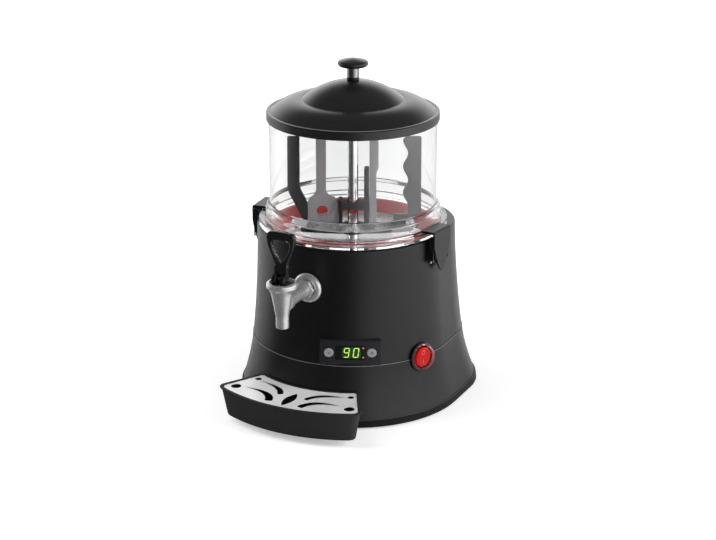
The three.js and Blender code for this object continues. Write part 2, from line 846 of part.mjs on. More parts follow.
// Silicone ring between pan and bowl, with a lip that lies on the pan's cone
function panGasket() {
  const flatFoot = panFlangeTop + gap;
  const flatTop = flatFoot + gasketWall;
  const slope = panConeRise / (panConeTopRadius - panConeFootRadius);
  const coneHeight = (radius) => panFlangeTop - (panConeTopRadius - radius) * slope;
  const lipFoot = panConeFootRadius + gasketInset;
  const rim = seatRadius - gap - gasketInset;
  const lift = gap + gap / 2;
  return piece('pan_gasket', revolved([
    [lipFoot, coneHeight(lipFoot) + lift], [panConeTopRadius, flatFoot], [rim, flatFoot], [rim, flatTop],
    [panConeTopRadius, flatTop], [lipFoot, coneHeight(lipFoot) + lift + gasketWall],
  ]), 'redSilicone');
}

function bathTank() {
  const floorFoot = bathFloorTop - bathWall;
  const outline = [
    [tubeRadius + gap, floorFoot], [bathOuterRadius, floorFoot], [bathOuterRadius, bathTop],
    [bathInnerRadius, bathTop], [bathInnerRadius, bathFloorTop], [tubeRadius + gap, bathFloorTop],
  ];
  const bore = (radius, x, y) =>
    bar(radius, floorFoot - overrun, bathFloorTop + overrun).translate(x, y, 0);
  const legs = heaterLegPlaces().map(({ x, y }) => bore(heaterTubeRadius + gap, x, y));
  const outlet = bore(outletRadius + 2 * gap, 0, -outletPlace);
  return piece('bath_tank', without(solid(revolved(outline)), outlet, ...legs), 'steel');
}

function heaterLegPlaces() {
  return [-1, 1].map((side) => {
    const angle = Math.PI / 2 + degrees(side * heaterOpeningAngle / 2);
    return at(heaterRadius * Math.cos(angle), heaterRadius * Math.sin(angle));
  });
}

// Open ring whose two ends turn down through the tank's floor
class HeaterCurve extends THREE.Curve {
  getPoint(t) {
    const ringHeight = bathFloorTop + heaterRise;
    const legFoot = bathFloorTop - bathWall - heaterLegDrop;
    const bend = heaterTubeRadius * 2;
    const half = Math.PI - degrees(heaterOpeningAngle / 2);
    const run = heaterRadius * half;
    const fall = ringHeight - legFoot;
    const travelled = Math.abs(t * 2 - 1) * (run + fall);
    const side = Math.sign(t * 2 - 1) || 1;
    const along = Math.min(travelled, run);
    const down = Math.max(travelled - run, 0);
    const angle = -Math.PI / 2 + (side * along) / heaterRadius;
    const early = Math.max(0, travelled - run + bend) / (2 * bend);
    const sag = travelled > run - bend && travelled < run + bend ? bend * early ** 2 : down;
    return new THREE.Vector3(
      heaterRadius * Math.cos(angle), heaterRadius * Math.sin(angle), ringHeight - Math.max(sag, down));
  }
}

function roundSection(radius, sides) {
  return new THREE.Shape(arcPoints(at(0, 0), radius, 0, Math.PI * 2 * (1 - 1 / sides), sides - 1));
}

function heaterRing() {
  const options = { steps: heaterSteps, extrudePath: new HeaterCurve(), bevelEnabled: false };
  const section = roundSection(heaterTubeRadius, heaterSides);
  return piece('heater_ring', new THREE.ExtrudeGeometry(section, options), 'zincPlate');
}

function thermalProbe() {
  const top = bathFloorTop - bathWall - gap;
  const probe = bar(probeRadius, top - probeRise, top).translate(probePlace, probePlace, 0);
  return piece('thermal_probe', probe, 'bronze');
}

// Pipe from the pan's floor to the tap's shank
function outletPipe() {
  const drop = tapHeight + outletBend;
  const path = new THREE.CurvePath();
  const start = new THREE.Vector3(0, -outletPlace, panFloorTop);
  const bendStart = new THREE.Vector3(0, -outletPlace, drop);
  const bendCorner = new THREE.Vector3(0, -outletPlace, tapHeight);
  const bendEnd = new THREE.Vector3(0, -outletPlace - outletBend, tapHeight);
  const end = new THREE.Vector3(0, gap - shankInnerReach, tapHeight);
  path.add(new THREE.LineCurve3(start, bendStart));
  path.add(new THREE.QuadraticBezierCurve3(bendStart, bendCorner, bendEnd));
  path.add(new THREE.LineCurve3(bendEnd, end));
  const section = roundSection(outletRadius, smallFacets);
  section.holes.push(roundSection(outletRadius - outletWall, smallFacets));
  const options = { steps: pipeSteps, extrudePath: path, bevelEnabled: false };
  return piece('outlet_pipe', new THREE.ExtrudeGeometry(section, options), 'steel');
}

function shaftTube() {
  const bore = tubeRadius - tubeWall;
  return piece('shaft_tube', revolved([
    [bore, tubeFoot], [tubeRadius, tubeFoot], [tubeRadius, tubeTopHeight], [bore, tubeTopHeight],
  ], middleFacets), 'steel');
}

function bush(name, foot) {
  const bore = shaftRadius + gap;
  const outer = tubeRadius - tubeWall - gap;
  return piece(name, revolved([
    [bore, foot], [outer, foot], [outer, foot + bushRise], [bore, foot + bushRise],
  ]), 'bronze');
}

function driveShaft() {
  const foot = gearboxTop - gearboxBoreDepth + gap;
  return piece('drive_shaft', bar(shaftRadius, foot, shaftTopHeight), 'steel');
}

function gearbox() {
  const foot = gearboxTop - gearboxRise;
  return piece('gearbox', without(
    solid(bar(gearboxRadius, foot, gearboxTop, middleFacets)),
    bar(shaftRadius + gap, gearboxTop - gearboxBoreDepth, gearboxTop + overrun),
  ), 'zincPlate');
}

function motor() {
  const top = gearboxTop - gearboxRise - gap;
  return piece('motor', bar(motorRadius, top - motorRise, top, middleFacets), 'zincPlate');
}

// Bridge that stands on the base plate and carries the gearbox and the motor below its top
function motorBracket() {
  const foot = footRise + plateFloor + gap;
  const top = bracketHeight + bracketWall;
  const leg = bracketReach - bracketWall;
  const toe = bracketReach + bracketToe;
  const shape = new THREE.Shape([
    at(-toe, foot), at(-leg, foot), at(-leg, bracketHeight),
    at(leg, bracketHeight), at(leg, foot), at(toe, foot),
    at(toe, foot + bracketWall), at(bracketReach, foot + bracketWall),
    at(bracketReach, top), at(-bracketReach, top),
    at(-bracketReach, foot + bracketWall), at(-toe, foot + bracketWall),
  ]);
  const bore = bar(bracketBoreRadius, bracketHeight - overrun, top + overrun);
  const bridge = upright(shape, -bracketWidth / 2, bracketWidth / 2);
  return piece('motor_bracket', without(solid(bridge), bore), 'zincPlate');
}

function bowl() {
  const edge = at(bowlFootRadius - bowlFootEdge, bowlFootTop - bowlFootEdge);
  return piece('bowl', revolved([
    [bowlBore, bowlSeat], [bowlFootRadius, bowlSeat],
    ...pairs(arcPoints(edge, bowlFootEdge, 0, Math.PI / 2, edgeFacets)),
    [bowlRiserRadius, bowlFootTop], [bowlRiserRadius, bowlSeat + bowlRiserRise],
    [bowlRadius, bowlSeat + bowlRiserRise + bowlShoulderRise],
    [bowlRadius, bowlRimHeight], [bowlBore, bowlRimHeight],
  ]), 'clear');
}

function stirrerHub() {
  const armTop = armFoot + armRise;
  const middle = (armRight - armLeft) / 2;
  const arm = upright(rectangle(armLeft + armRight, armRise, armRise / 2), -armWidth / 2, armWidth / 2)
    .translate(middle, 0, armFoot + armRise / 2);
  const collar = bar(tubeRadius + gap + legThickness / 2, armFoot, armTop, middleFacets);
  const postTop = hubTop + hubPostRise;
  const leg = hubLegWidth - hubLeft;
  const band = upright(roundedShape([
    [-hubLeft, hubTop - hubBandRise], [hubRight, hubTop - hubBandRise], [hubRight, hubTop],
    [leg, hubTop], [leg, hubTop + hubEarRise], [-hubLeft, hubTop + hubEarRise],
  ]), -hubThickness / 2, hubThickness / 2);
  const leftLeg = upright(roundedShape([
    [-hubLeft, armFoot], [leg, armFoot], [leg, hubTop], [-hubLeft, hubTop],
  ]), -legThickness / 2, legThickness / 2);
  const post = upright(roundedShape([
    [hubRight - hubPostWidth, armFoot], [hubRight, armFoot], [hubRight, postTop],
    [hubRight - hubPostWidth, postTop, hubPostWidth / 2],
  ]), -legThickness / 2, legThickness / 2);
  const bore = bar(tubeRadius + 2 * gap, armFoot - overrun, hubTop + overrun, middleFacets);
  return piece('stirrer_hub', without(joined(arm, collar, band, leftLeg, post), bore), 'satinBlack');
}

function stirrerWing() {
  const round = wingStripWidth / 2;
  const wingTop = armFoot + wingRise;
  const stripRight = wingStripLeft - wingStripWidth;
  const shape = roundedShape([
    [-wingLeft, bladeFoot], [-wingRight, bladeFoot], [-wingRight, wingTop - round, round],
    [-stripRight, wingTop, round], [-stripRight, stripTop], [-wingStripLeft, stripTop],
    [-wingStripLeft, wingTop, round], [-wingLeft, wingTop - round, round / 2],
  ]);
  const half = wingSlotWidth / 2;
  const middle = wingMiddle + wingSlotOffset;
  const slotFoot = bladeFoot + armRise;
  const slotTop = armFoot + wingSlotRise;
  const slot = new THREE.Path();
  slot.moveTo(-middle - half * wingSlotFootShare, slotFoot);
  slot.lineTo(-middle - half, slotTop - half);
  slot.quadraticCurveTo(-middle - half, slotTop, -middle, slotTop);
  slot.quadraticCurveTo(half - middle, slotTop, half - middle, slotTop - half);
  slot.lineTo(-middle + half * wingSlotFootShare, slotFoot);
  slot.closePath();
  shape.holes.push(slot);
  return piece('stirrer_wing', upright(shape, -stirrerWall / 2, stirrerWall / 2), 'greyPlastic');
}

function stirrerStrip() {
  const left = hubRight + gap;
  const stepFoot = stripTop - stripStepDrop;
  const stepTop = stepFoot + 2 * (stripWidth - stripFootWidth);
  const shape = roundedShape([
    [left, bladeFoot], [left + stripFootWidth, bladeFoot], [left + stripFootWidth, stepFoot],
    [left + stripWidth, stepTop], [left + stripWidth, stripTop], [left, stripTop],
  ]);
  return piece('stirrer_strip', upright(shape, -stirrerWall / 2, stirrerWall / 2), 'greyPlastic');
}

function stirrerPlainBlade() {
  const edge = -wingLeft - gap;
  const round = plainBladeWidth;
  const bend = armFoot + plainBladeBendRise;
  const shape = roundedShape([
    [edge - plainBladeFootWidth, bladeFoot], [edge, bladeFoot], [edge, bend - round],
    [-plainBladeInner, bend + stirrerWall, round / 2], [-plainBladeInner, bladeTop, round / 8],
    [-plainBladeOuter, bladeTop, round / 8], [-plainBladeOuter, bend, round / 2],
    [edge - plainBladeFootWidth, armFoot + plainBladeFootRise],
  ]);
  return piece('stirrer_plain_blade', upright(shape, -stirrerWall, stirrerWall), 'satinBlack');
}

// Blade whose inner edge runs in waves between its crests and its valleys
function stirrerWavyBlade() {
  const crest = wavyBladeOuter - wavyBladeCrestWidth;
  const valley = wavyBladeOuter - wavyBladeValleyWidth;
  const heel = wavyBladeOuter - wavyBladeFootWidth;
  const heelTop = bladeFoot + wavyBladeFootRise;
  const middle = (crest + valley) / 2;
  const swing = (valley - crest) / 2;
  const round = wavyBladeValleyWidth / 2;
  const waveTop = bladeTop - waveTopDrop;
  const waveFoot = armFoot + waveFootRise;
  const wave = Array.from({ length: waveSteps + 1 }, (_, step) => {
    const share = step / waveSteps;
    const x = middle - swing * Math.cos(share * waveCount * Math.PI * 2);
    return [x, lerp(waveTop, waveFoot, share)];
  });
  const shape = roundedShape([
    [heel, bladeFoot], [wavyBladeOuter - round, bladeFoot], [wavyBladeOuter, bladeFoot + round, round],
    [wavyBladeOuter, bladeTop, round / 4], [middle, bladeTop], ...wave,
    [valley, heelTop], [heel, heelTop],
  ]);
  return piece('stirrer_wavy_blade', upright(shape, -stirrerWall, stirrerWall), 'satinBlack');
}

// Bridge on top of the strips that takes the shaft's end
function stirrerCap() {
  const foot = stripTop + gap;
  const top = shaftTopHeight + gap + capRoof;
  const left = wingStripLeft;
  const right = hubRight + gap + stripWidth;
  const bridge = box(left + right, capWidth, foot, top).translate((right - left) / 2, 0, 0);
  const hub = bar(capHubRadius, tubeTopHeight + 2 * gap, top, middleFacets);
  const bore = bar(shaftRadius + gap, tubeTopHeight - overrun, shaftTopHeight + gap);
  return piece('stirrer_cap', without(joined(bridge, hub), bore), 'satinBlack');
}

function stirrer() {
  const turned = new THREE.Group();
  turned.rotation.z = degrees(stirrerAzimuth) - Math.PI / 2;
  turned.add(
    stirrerHub(), stirrerWing(), stirrerStrip(), stirrerPlainBlade(), stirrerWavyBlade(),
    stirrerCap(), driveShaft());
  return turned;
}

function lid() {
  const ledge = bowlRimHeight + gap;
  const inner = bowlRadius + lidFit;
  const domeFoot = at(lidDomeRadius, lidRimTop + lidDomeFootRise);
  const step = at(lidStepRadius, lidStepHeight);
  const innerBulge = domeBulge(step, at(lidBoreRadius, lidApexHeight));
  const stepUnder = at(lidStepRadius - lidWall / 2, lidStepHeight - lidWall);
  const footUnder = at(lidDomeRadius - lidWall, lidRimTop - lidWall);
  const apexUnder = at(lidBoreRadius, lidApexHeight - lidWall);
  const rimCorner = at(lidRadius - lidRimEdge, lidRimTop - lidRimEdge);
  return piece('lid', revolved([
    [inner, lidRimFoot], [lidRadius, lidRimFoot],
    ...pairs(arcPoints(rimCorner, lidRimEdge, 0, Math.PI / 2, edgeFacets)),
    ...pairs(bulgedArc(domeFoot, step, lidDomeBulge, domeFacets)),
    ...pairs(bulgedArc(step, at(lidBoreRadius, lidApexHeight), innerBulge, crownFacets).slice(1)),
    ...pairs(bulgedArc(apexUnder, stepUnder, -innerBulge, cornerFacets)),
    ...pairs(bulgedArc(stepUnder, footUnder, -lidDomeBulge, edgeFacets).slice(1)),
    [lidDomeRadius - lidWall, ledge], [inner, ledge],
  ]), 'glossBlack');
}

// Bulge of the arc that leaves the apex level
function domeBulge(foot, apex) {
  const rise = apex.y - foot.y;
  const radius = (foot.x ** 2 + rise ** 2) / (2 * rise);
  const chord = foot.distanceTo(apex);
  return radius - Math.sqrt(radius ** 2 - chord ** 2 / 4);
}

function knobFerrule() {
  const bore = screwRadius + gap;
  return piece('knob_ferrule', revolved([
    [bore, ferruleFoot], [ferruleRadius, ferruleFoot], [ferruleRadius, ferruleFoot + ferruleRise],
    [bore, ferruleFoot + ferruleRise],
  ], middleFacets), 'satinBlack');
}

function knobStem() {
  const bore = screwRadius + gap;
  return piece('knob_stem', revolved([
    [bore, knobStemFoot], [knobStemRadius, knobStemFoot], [knobStemRadius, knobStemFoot + knobStemRise],
    [bore, knobStemFoot + knobStemRise],
  ], middleFacets), 'steel');
}

function knob() {
  const bore = screwRadius + gap;
  const edge = knobFoot + knobRise * knobEdgeShare;
  const crown = at(0, knobFoot + knobRise);
  const rim = at(knobRadius, edge);
  const boreTop = knobFoot + screwGrip + gap;
  return piece('knob', revolved([
    [bore, knobFoot], [knobStemRadius + screwRadius, knobFoot],
    ...pairs(bulgedArc(at(knobRadius - screwRadius, knobFoot), rim, knobEdgeBulge, edgeFacets)),
    ...pairs(bulgedArc(rim, crown, knobCrownBulge, crownFacets).slice(1)),
    [0, boreTop], [bore, boreTop],
  ], middleFacets), 'glossBlack');
}

function knobScrew() {
  const headTop = lidApexHeight - lidWall - screwHeadClearance;
  const headFoot = headTop - screwHeadRise;
  return piece('knob_screw', revolved([
    [0, headFoot], [screwHeadRadius, headFoot], [screwHeadRadius, headTop], [screwRadius, headTop],
    [screwRadius, knobFoot + screwGrip], [0, knobFoot + screwGrip],
  ], smallFacets), 'steel');
}

function tapFlange() {
  const bore = shankRadius + gap;
  const front = at(tapFlangeFace, tapFlangeWall);
  const rim = at(tapFlangeRadius, tapFlangeRimWall);
  const flange = revolved([
    [bore, 0], [tapFlangeRadius, 0], ...pairs(bulgedArc(rim, front, tapFlangeBulge, cornerFacets)),
    [bore, tapFlangeWall],
  ], middleFacets);
  return piece('tap_flange', outward(flange).translate(0, -flangeSeatReach, tapHeight), 'satinNickel');
}

function tapShankNut() {
  const seat = wallHalfWidthAt(tapHeight + nutRadius) - shellWall - shoulderRadius;
  const nut = outward(bar(nutRadius, seat - nutWall, seat, collarSides));
  const bore = outward(bar(shankRadius + gap, seat - nutWall - overrun, seat + overrun, middleFacets));
  return piece('tap_shank_nut', without(solid(nut), bore).translate([0, 0, tapHeight]), 'bronze');
}

// Cast body: shank through the wall, hexagon collar, cup, cone and nozzle with one passage through them
function tapBody() {
  const shank = outward(bar(shankRadius, shankInnerReach, spoutReach, middleFacets));
  shank.translate(0, 0, tapHeight);
  const collarFoot = flangeSeatReach + tapFlangeWall + gap;
  const hexagon = bar(collarRadius, collarFoot, collarFoot + collarWall, collarSides);
  const collar = outward(hexagon).translate(0, 0, tapHeight);
  const coneTop = at(coneRadius, coneHeight);
  const flare = bulgedArc(coneTop, at(cupRadius, cupFlareHeight), -cupFlareBulge, cornerFacets);
  const outline = [
    [0, nozzleFoot], [nozzleRadius - nozzleEdge, nozzleFoot], [nozzleRadius, nozzleFoot + nozzleEdge],
    [nozzleRadius, nozzleTop], ...pairs(flare),
    [cupRadius, cupTop - cupEdgeRise], [cupRadius - cupEdge, cupTop], [0, cupTop],
  ];
  const cast = joined(shank, collar, revolved(outline, middleFacets).translate(0, -spoutReach, 0));
  const passage = revolved([
    [0, nozzleFoot - overrun], [nozzleBoreRadius, nozzleFoot - overrun], [nozzleBoreRadius, seatHeight],
    [chamberRadius, seatHeight], [chamberRadius, chamberTop], [cupBoreRadius, bonnetTop - bonnetWall - gap],
    [cupBoreRadius, cupTop + overrun], [0, cupTop + overrun],
  ], middleFacets).translate(0, -spoutReach, 0);
  const inlet = outward(bar(shankBoreRadius, shankInnerReach - overrun, spoutReach));
  inlet.translate(0, 0, tapHeight);
  return piece('tap_body', without(cast, passage, inlet), 'satinNickel');
}

function tapBonnet() {
  const foot = bonnetTop - bonnetWall;
  return piece('tap_bonnet', revolved([
    [stemRadius + gap, foot], [bonnetRadius, foot],
    [bonnetRadius, bonnetTop], [stemRadius + gap, bonnetTop],
  ], middleFacets).translate(0, -spoutReach, 0), 'satinBlack');
}

// Plunger: a seat that closes the nozzle, a stem through the bonnet and an eye for the handle's pin
function tapStem() {
  const foot = seatHeight + gap;
  const cone = revolved([
    [0, foot], [tapSeatRadius - gap, foot], [tapSeatRadius, foot + tapSeatRise / 2],
    [stemRadius, foot + tapSeatRise], [stemRadius, pinHeight], [0, pinHeight],
  ], smallFacets);
  const eye = rightward(bar(stemEyeRadius, -clevisGap / 2 + gap, clevisGap / 2 - gap));
  const hole = rightward(bar(pinRadius + gap, -clevisGap, clevisGap));
  const stem = joined(cone, eye.translate(0, 0, pinHeight));
  const body = without(stem, hole.translate(0, 0, pinHeight));
  const mesh = piece('tap_stem', body, 'steel');
  mesh.position.y = -spoutReach;
  return mesh;
}

class SpringCurve extends THREE.Curve {
  getPoint(t) {
    const foot = seatHeight + gap + tapSeatRise + springWire;
    const top = bonnetTop - bonnetWall - gap - springWire;
    const angle = t * springTurns * Math.PI * 2;
    return new THREE.Vector3(
      springRadius * Math.cos(angle), springRadius * Math.sin(angle), lerp(foot, top, t));
  }
}

function tapSpring() {
  const steps = springTurns * springTurnSteps;
  const options = { steps, extrudePath: new SpringCurve(), bevelEnabled: false };
  const spring = new THREE.ExtrudeGeometry(roundSection(springWire, springSides), options);
  return piece('tap_spring', spring.translate(0, -spoutReach, 0), 'steel');
}

// Loop grip on a forked foot: two cam lobes beside the stem's eye ride on the bonnet and lift the pin
function tapHandle() {
  const half = handleWidth / 2;
  const neck = handleNeckWidth / 2;
  const round = handleRounding;
  const slotTop = pinHeight + stemEyeRadius + clevisRoof;
  const loopTop = handleTop - loopInset;
  const loopFoot = handleNeckHeight + loopFootRise;
  const grip = roundedShape([
    [-neck, slotTop + clevisRoof], [neck, slotTop + clevisRoof],
    [neck, handleNeckHeight, round / 2],
    [half, handleShoulderHeight, round], [half, handleTop - gap, round],
    [0, handleTop, round], [-half, handleTop - gap, round], [-half, handleShoulderHeight, round],
    [-neck, handleNeckHeight, round / 2],
  ]);
  const loopHalf = loopWidth / 2;
  const loop = new THREE.Path();
  loop.moveTo(0, loopFoot);
  loop.quadraticCurveTo(loopHalf, lerp(loopFoot, loopTop, 0.5), loopHalf, loopTop - round / 2);
  loop.quadraticCurveTo(loopHalf, loopTop, loopHalf - round / 2, loopTop);
  loop.lineTo(round / 2 - loopHalf, loopTop);
  loop.quadraticCurveTo(-loopHalf, loopTop, -loopHalf, loopTop - round / 2);
  loop.quadraticCurveTo(-loopHalf, lerp(loopFoot, loopTop, 0.5), 0, loopFoot);
  grip.holes.push(loop);
  const plate = new THREE.ExtrudeGeometry(grip, {
    depth: handleThickness - 2 * handleEdge, bevelThickness: handleEdge, bevelSize: handleEdge,
    bevelOffset: -handleEdge, bevelSegments: 1, curveSegments: cornerFacets,
  });
  plate.rotateX(Math.PI / 2).translate(0, handleThickness / 2 - handleEdge, 0);
  const lobes = [[-camOuter, -clevisGap / 2], [clevisGap / 2, camOuter]].map(([from, to]) =>
    rightward(bar(camRadius, from, to, middleFacets)).translate(0, -camOffset, pinHeight));
  const bridgeTop = handleNeckHeight + round / 2;
  const bridge = box(2 * camOuter, handleThickness - handleEdge, pinHeight, bridgeTop);
  bridge.translate(0, -handleEdge / 2, 0);
  const slot = box(clevisGap, 4 * camRadius, pinHeight - 2 * camRadius, slotTop);
  const hole = rightward(bar(pinRadius + gap, -handleWidth, handleWidth)).translate(0, 0, pinHeight);
  const mesh = piece('tap_handle', without(joined(plate, bridge, ...lobes), slot, hole), 'glossBlack');
  mesh.position.y = -spoutReach;
  return mesh;
}

function handlePin() {
  const pin = rightward(bar(pinRadius, -camOuter - gap, camOuter + gap));
  return piece('handle_pin', pin.translate(0, -spoutReach, pinHeight), 'steel');
}

function displayBezel() {
  const shape = rectangle(bezelWidth, bezelHeight, bezelCorner);
  const frame = upright(shape, -gap - bezelWall, -gap);
  const window = upright(rectangle(windowWidth + 2 * gap, windowHeight + 2 * gap), -overrun, overrun);
  const holes = [-1, 1].map((side) =>
    outward(bar(buttonRadius + gap, -overrun, overrun)).translate(side * buttonPlace, 0, 0));
  return piece('display_bezel', without(solid(frame), window, ...holes), 'glossBlack');
}

function displayWindow() {
  const pane = upright(rectangle(windowWidth, windowHeight), -gap - bezelWall, -gap);
  return piece('display_window', pane, 'smoked');
}

function displayModule() {
  const housing = upright(rectangle(moduleWidth, moduleHeight), 0, moduleDepth);
  const wells = [-1, 1].map((side) => {
    const well = bar(buttonRadius + gap, -buttonDepth - buttonTravel - gap, overrun);
    return outward(well).translate(side * buttonPlace, 0, 0);
  });
  return piece('display_module', without(solid(housing), ...wells), 'satinBlack');
}

function panelButton(name, side) {
  const cap = outward(bar(buttonRadius, -buttonDepth, gap + bezelWall + buttonProud));
  const mesh = piece(name, cap, 'greyPlastic');
  mesh.position.x = side * buttonPlace;
  return mesh;
}

function controlBoard() {
  const foot = moduleDepth + gap;
  const board = upright(rectangle(boardWidth, boardHeight), foot, foot + boardWall);
  return piece('control_board', board, 'boardGreen');
}

function controlPanel() {
  return onWall(
    panelPlace, displayBezel(), displayWindow(), displayModule(), controlBoard(),
    panelButton('button_left', -1), panelButton('button_right', 1));
}

function switchBody() {
  const shell = revolved([
    [0, -switchBarrelDepth], [switchBarrelRadius, -switchBarrelDepth], [switchBarrelRadius, 0],
    [switchFlangeRadius, 0], [switchFlangeRadius, switchFlangeWall - bootWall],
    [switchFlangeRadius - bootWall, switchFlangeWall], [switchCavityRadius, switchFlangeWall],
    [switchCavityRadius, -switchCavityDepth], [0, -switchCavityDepth],
  ], middleFacets);
  return piece('switch_body', outward(shell), 'satinBlack');
}

function powerRocker() {
  const disc = revolved([
    [0, -rockerDepth], [rockerRadius - rockerDepth / 2, -rockerDepth], [rockerRadius, 0],
    [rockerRadius, rockerRise / 2], [rockerRadius - rockerRise / 2, rockerRise], [0, rockerRise],
  ], middleFacets);
  const stubs = rightward(bar(rockerStubRadius, gap - switchCavityRadius, switchCavityRadius - gap));
  const body = joined(outward(disc).rotateX(degrees(rockerTilt)), stubs);
  return piece('power_rocker', body, 'redLens');
}

function switchBoot() {
  const foot = switchFlangeWall + gap;
  const top = foot + bootRise;
  const inner = bootRadius - bootWall;
  return piece('switch_boot', outward(revolved([
    [inner, foot], [bootRadius, foot], [bootRadius, top - bootShoulder],
    [bootRadius - bootShoulder, top], [0, top],
    [0, top - bootWall], [inner - bootShoulder, top - bootWall], [inner, top - bootShoulder],
  ], middleFacets)), 'clear');
}

function powerSwitch() {
  return onWall(switchPlace, switchBody(), powerRocker(), switchBoot());
}

// Over-centre clip: a plate with two ears on a pin and a hook over the bowl's foot
function bowlClip(side) {
  const half = clipWidth / 2;
  const lugFace = clipPivotReach + clipLugRadius + clipLugClearance;
  const face = lugFace + clipWall;
  const hookTop = clipHookFoot + clipHookWall;
  const tip = clipReach - clipHookTip;
  const earTop = clipHookFoot - clipEarDrop;
  const plate = sideways(roundedShape([
    [-face, clipFoot, clipWall / 2], [-lugFace, clipFoot], [-lugFace, clipHookFoot, clipHookWall / 2],
    [tip, clipHookFoot], [tip, hookTop], [-face, hookTop, clipHookWall],
  ]), -half, half);
  const ears = [-half, half - clipEarWall].map((from) => joined(
    sideways(roundedShape([
      [-lugFace - gap, clipPivotHeight], [clipLugRadius - clipPivotReach, clipPivotHeight],
      [clipLugRadius - clipPivotReach, earTop, clipEarWall], [-lugFace - gap, earTop],
    ]), from, from + clipEarWall),
    rightward(bar(clipLugRadius, from, from + clipEarWall)).translate(0, -clipPivotReach, clipPivotHeight),
    sideways(roundedShape([
      [-lugFace - gap, clipPivotHeight - clipLugRadius], [-clipPivotReach, clipPivotHeight - clipLugRadius],
      [-clipPivotReach, clipPivotHeight], [-lugFace - gap, clipPivotHeight],
    ]), from, from + clipEarWall),
  ));
  const hole = rightward(bar(pinRadius + gap, -clipWidth, clipWidth));
  hole.translate(0, -clipPivotReach, clipPivotHeight);
  const body = without(ears.reduce((sum, ear) => sum.add(ear), solid(plate)), hole);
  return piece(`clip_${side}`, body, 'satinBlack');
}

function clipBracket(side) {
  const half = clipBaseWidth / 2;
  const foot = clipPivotHeight - clipBaseRise;
  const top = clipPivotHeight + clipBaseRise;
  const base = sideways(roundedShape([
    [-clipBaseWall, foot], [0, foot], [0, top], [-clipBaseWall, top],
  ]), -half, half);
  const lugHalf = half - clipEarWall;
  const lug = sideways(roundedShape([
    [-clipPivotReach, clipPivotHeight - clipLugRadius], [-gap, clipPivotHeight - clipLugRadius],
    [-gap, clipPivotHeight + clipLugRadius], [-clipPivotReach, clipPivotHeight + clipLugRadius],
  ]), -lugHalf, lugHalf);
  const round = rightward(bar(clipLugRadius, -lugHalf, lugHalf));
  round.translate(0, -clipPivotReach, clipPivotHeight);
  const hole = rightward(bar(pinRadius + gap, -clipWidth, clipWidth));
  hole.translate(0, -clipPivotReach, clipPivotHeight);
  return piece(`clip_bracket_${side}`, without(joined(base, lug, round), hole), 'satinBlack');
}

function clipPin(side) {
  const pin = rightward(bar(pinRadius, -clipWidth / 2 - gap, clipWidth / 2 + gap, pinFacets));
  return piece(`clip_pin_${side}`, pin.translate(0, -clipPivotReach, clipPivotHeight), 'steel');
}

function clips() {
  return [['left', -clipAzimuth], ['right', clipAzimuth]].map(([side, azimuth]) =>
    onWall({ azimuth, reach: clipReach }, bowlClip(side), clipBracket(side), clipPin(side)));
}

// Level outline of the tray: a ring sector with rounded corners, moved in by an inset
function trayRing(height, inset, grow = 0) {
  const share = (height - trayFoot) / (trayRimHeight - trayFoot);
  const front = lerp(trayFootReach, trayRimReach, share) + grow - inset;
  const back = skirtHalfWidthAt(height) + trayClearance + inset;
  const turn = (grow - inset) / ((front + back) / 2);
  const halfAngle = degrees(lerp(trayFootHalfAngle, trayHalfAngle, share)) + turn;
  const corner = Math.max(trayCorner - inset, trayCorner / 3);
  return raised(sectorOutline(back, front, halfAngle, corner), height);
}

function polar(radius, azimuth) {
  return at(radius * Math.sin(azimuth), -radius * Math.cos(azimuth));
}

function sectorOutline(back, front, halfAngle, corner) {
  const frontTurn = corner / front;
  const backTurn = corner / back / 2;
  const sweep = (radius, from, to, steps) =>
    Array.from({ length: steps + 1 }, (_, step) => polar(radius, lerp(from, to, step / steps)));
  const round = (start, middle, end) => new THREE.QuadraticBezierCurve(start, middle, end)
    .getPoints(cornerFacets + 1).slice(1, -1);
  const sideFront = front - corner;
  const sideBack = back + corner / 2;
  return [
    ...sweep(front, frontTurn - halfAngle, halfAngle - frontTurn, trayFrontFacets),
    ...round(polar(front, halfAngle - frontTurn), polar(front, halfAngle), polar(sideFront, halfAngle)),
    polar(sideFront, halfAngle),
    polar(sideBack, halfAngle),
    ...round(polar(sideBack, halfAngle), polar(back, halfAngle), polar(back, halfAngle - backTurn)),
    ...sweep(back, halfAngle - backTurn, backTurn - halfAngle, trayBackFacets),
    ...round(polar(back, backTurn - halfAngle), polar(back, -halfAngle), polar(sideBack, -halfAngle)),
    polar(sideBack, -halfAngle),
    polar(sideFront, -halfAngle),
    ...round(polar(sideFront, -halfAngle), polar(front, -halfAngle), polar(front, frontTurn - halfAngle)),
  ];
}

function dripTray() {
  const lipFoot = trayRimHeight - trayLipRise;
  const shell = loft(heightSteps(trayFoot, trayRimHeight, trayRings).map((height) => trayRing(height, 0)));
  const lip = loft([lipFoot, trayRimHeight].map((height) =>
    trayRing(height, trayWall / 2, trayLip + trayWall / 2)));
  const cavity = loft([
    trayRing(trayFoot + trayFloor, trayWall),
    trayRing(grateSeat - trayLedgeRise, trayWall),
    trayRing(grateSeat - trayLedge, trayWall + trayLedge),
    trayRing(trayRimHeight + overrun, trayWall + trayLedge),
  ]);
  const recess = loft([trayRing(grateSeat, trayWall), trayRing(trayRimHeight + overrun, trayWall)]);
  const hookRoot = skirtHalfWidthAt(trayHookHeight) + trayClearance + trayWall;
  const hookTip = skirtHalfWidthAt(trayHookHeight) - trayHookLength;
  const hooks = [-1, 1].map((side) => {
    const hook = upright(rectangle(trayHookWidth, trayHookWall), -hookReach(hookRoot), -hookReach(hookTip));
    return hook.translate(side * trayHookPlace, 0, trayHookHeight);
  });
  const body = without(joined(shell, lip), cavity, recess);
  return piece('drip_tray', hooks.map(solid).reduce((sum, hook) => sum.add(hook), body), 'satinBlack');
}

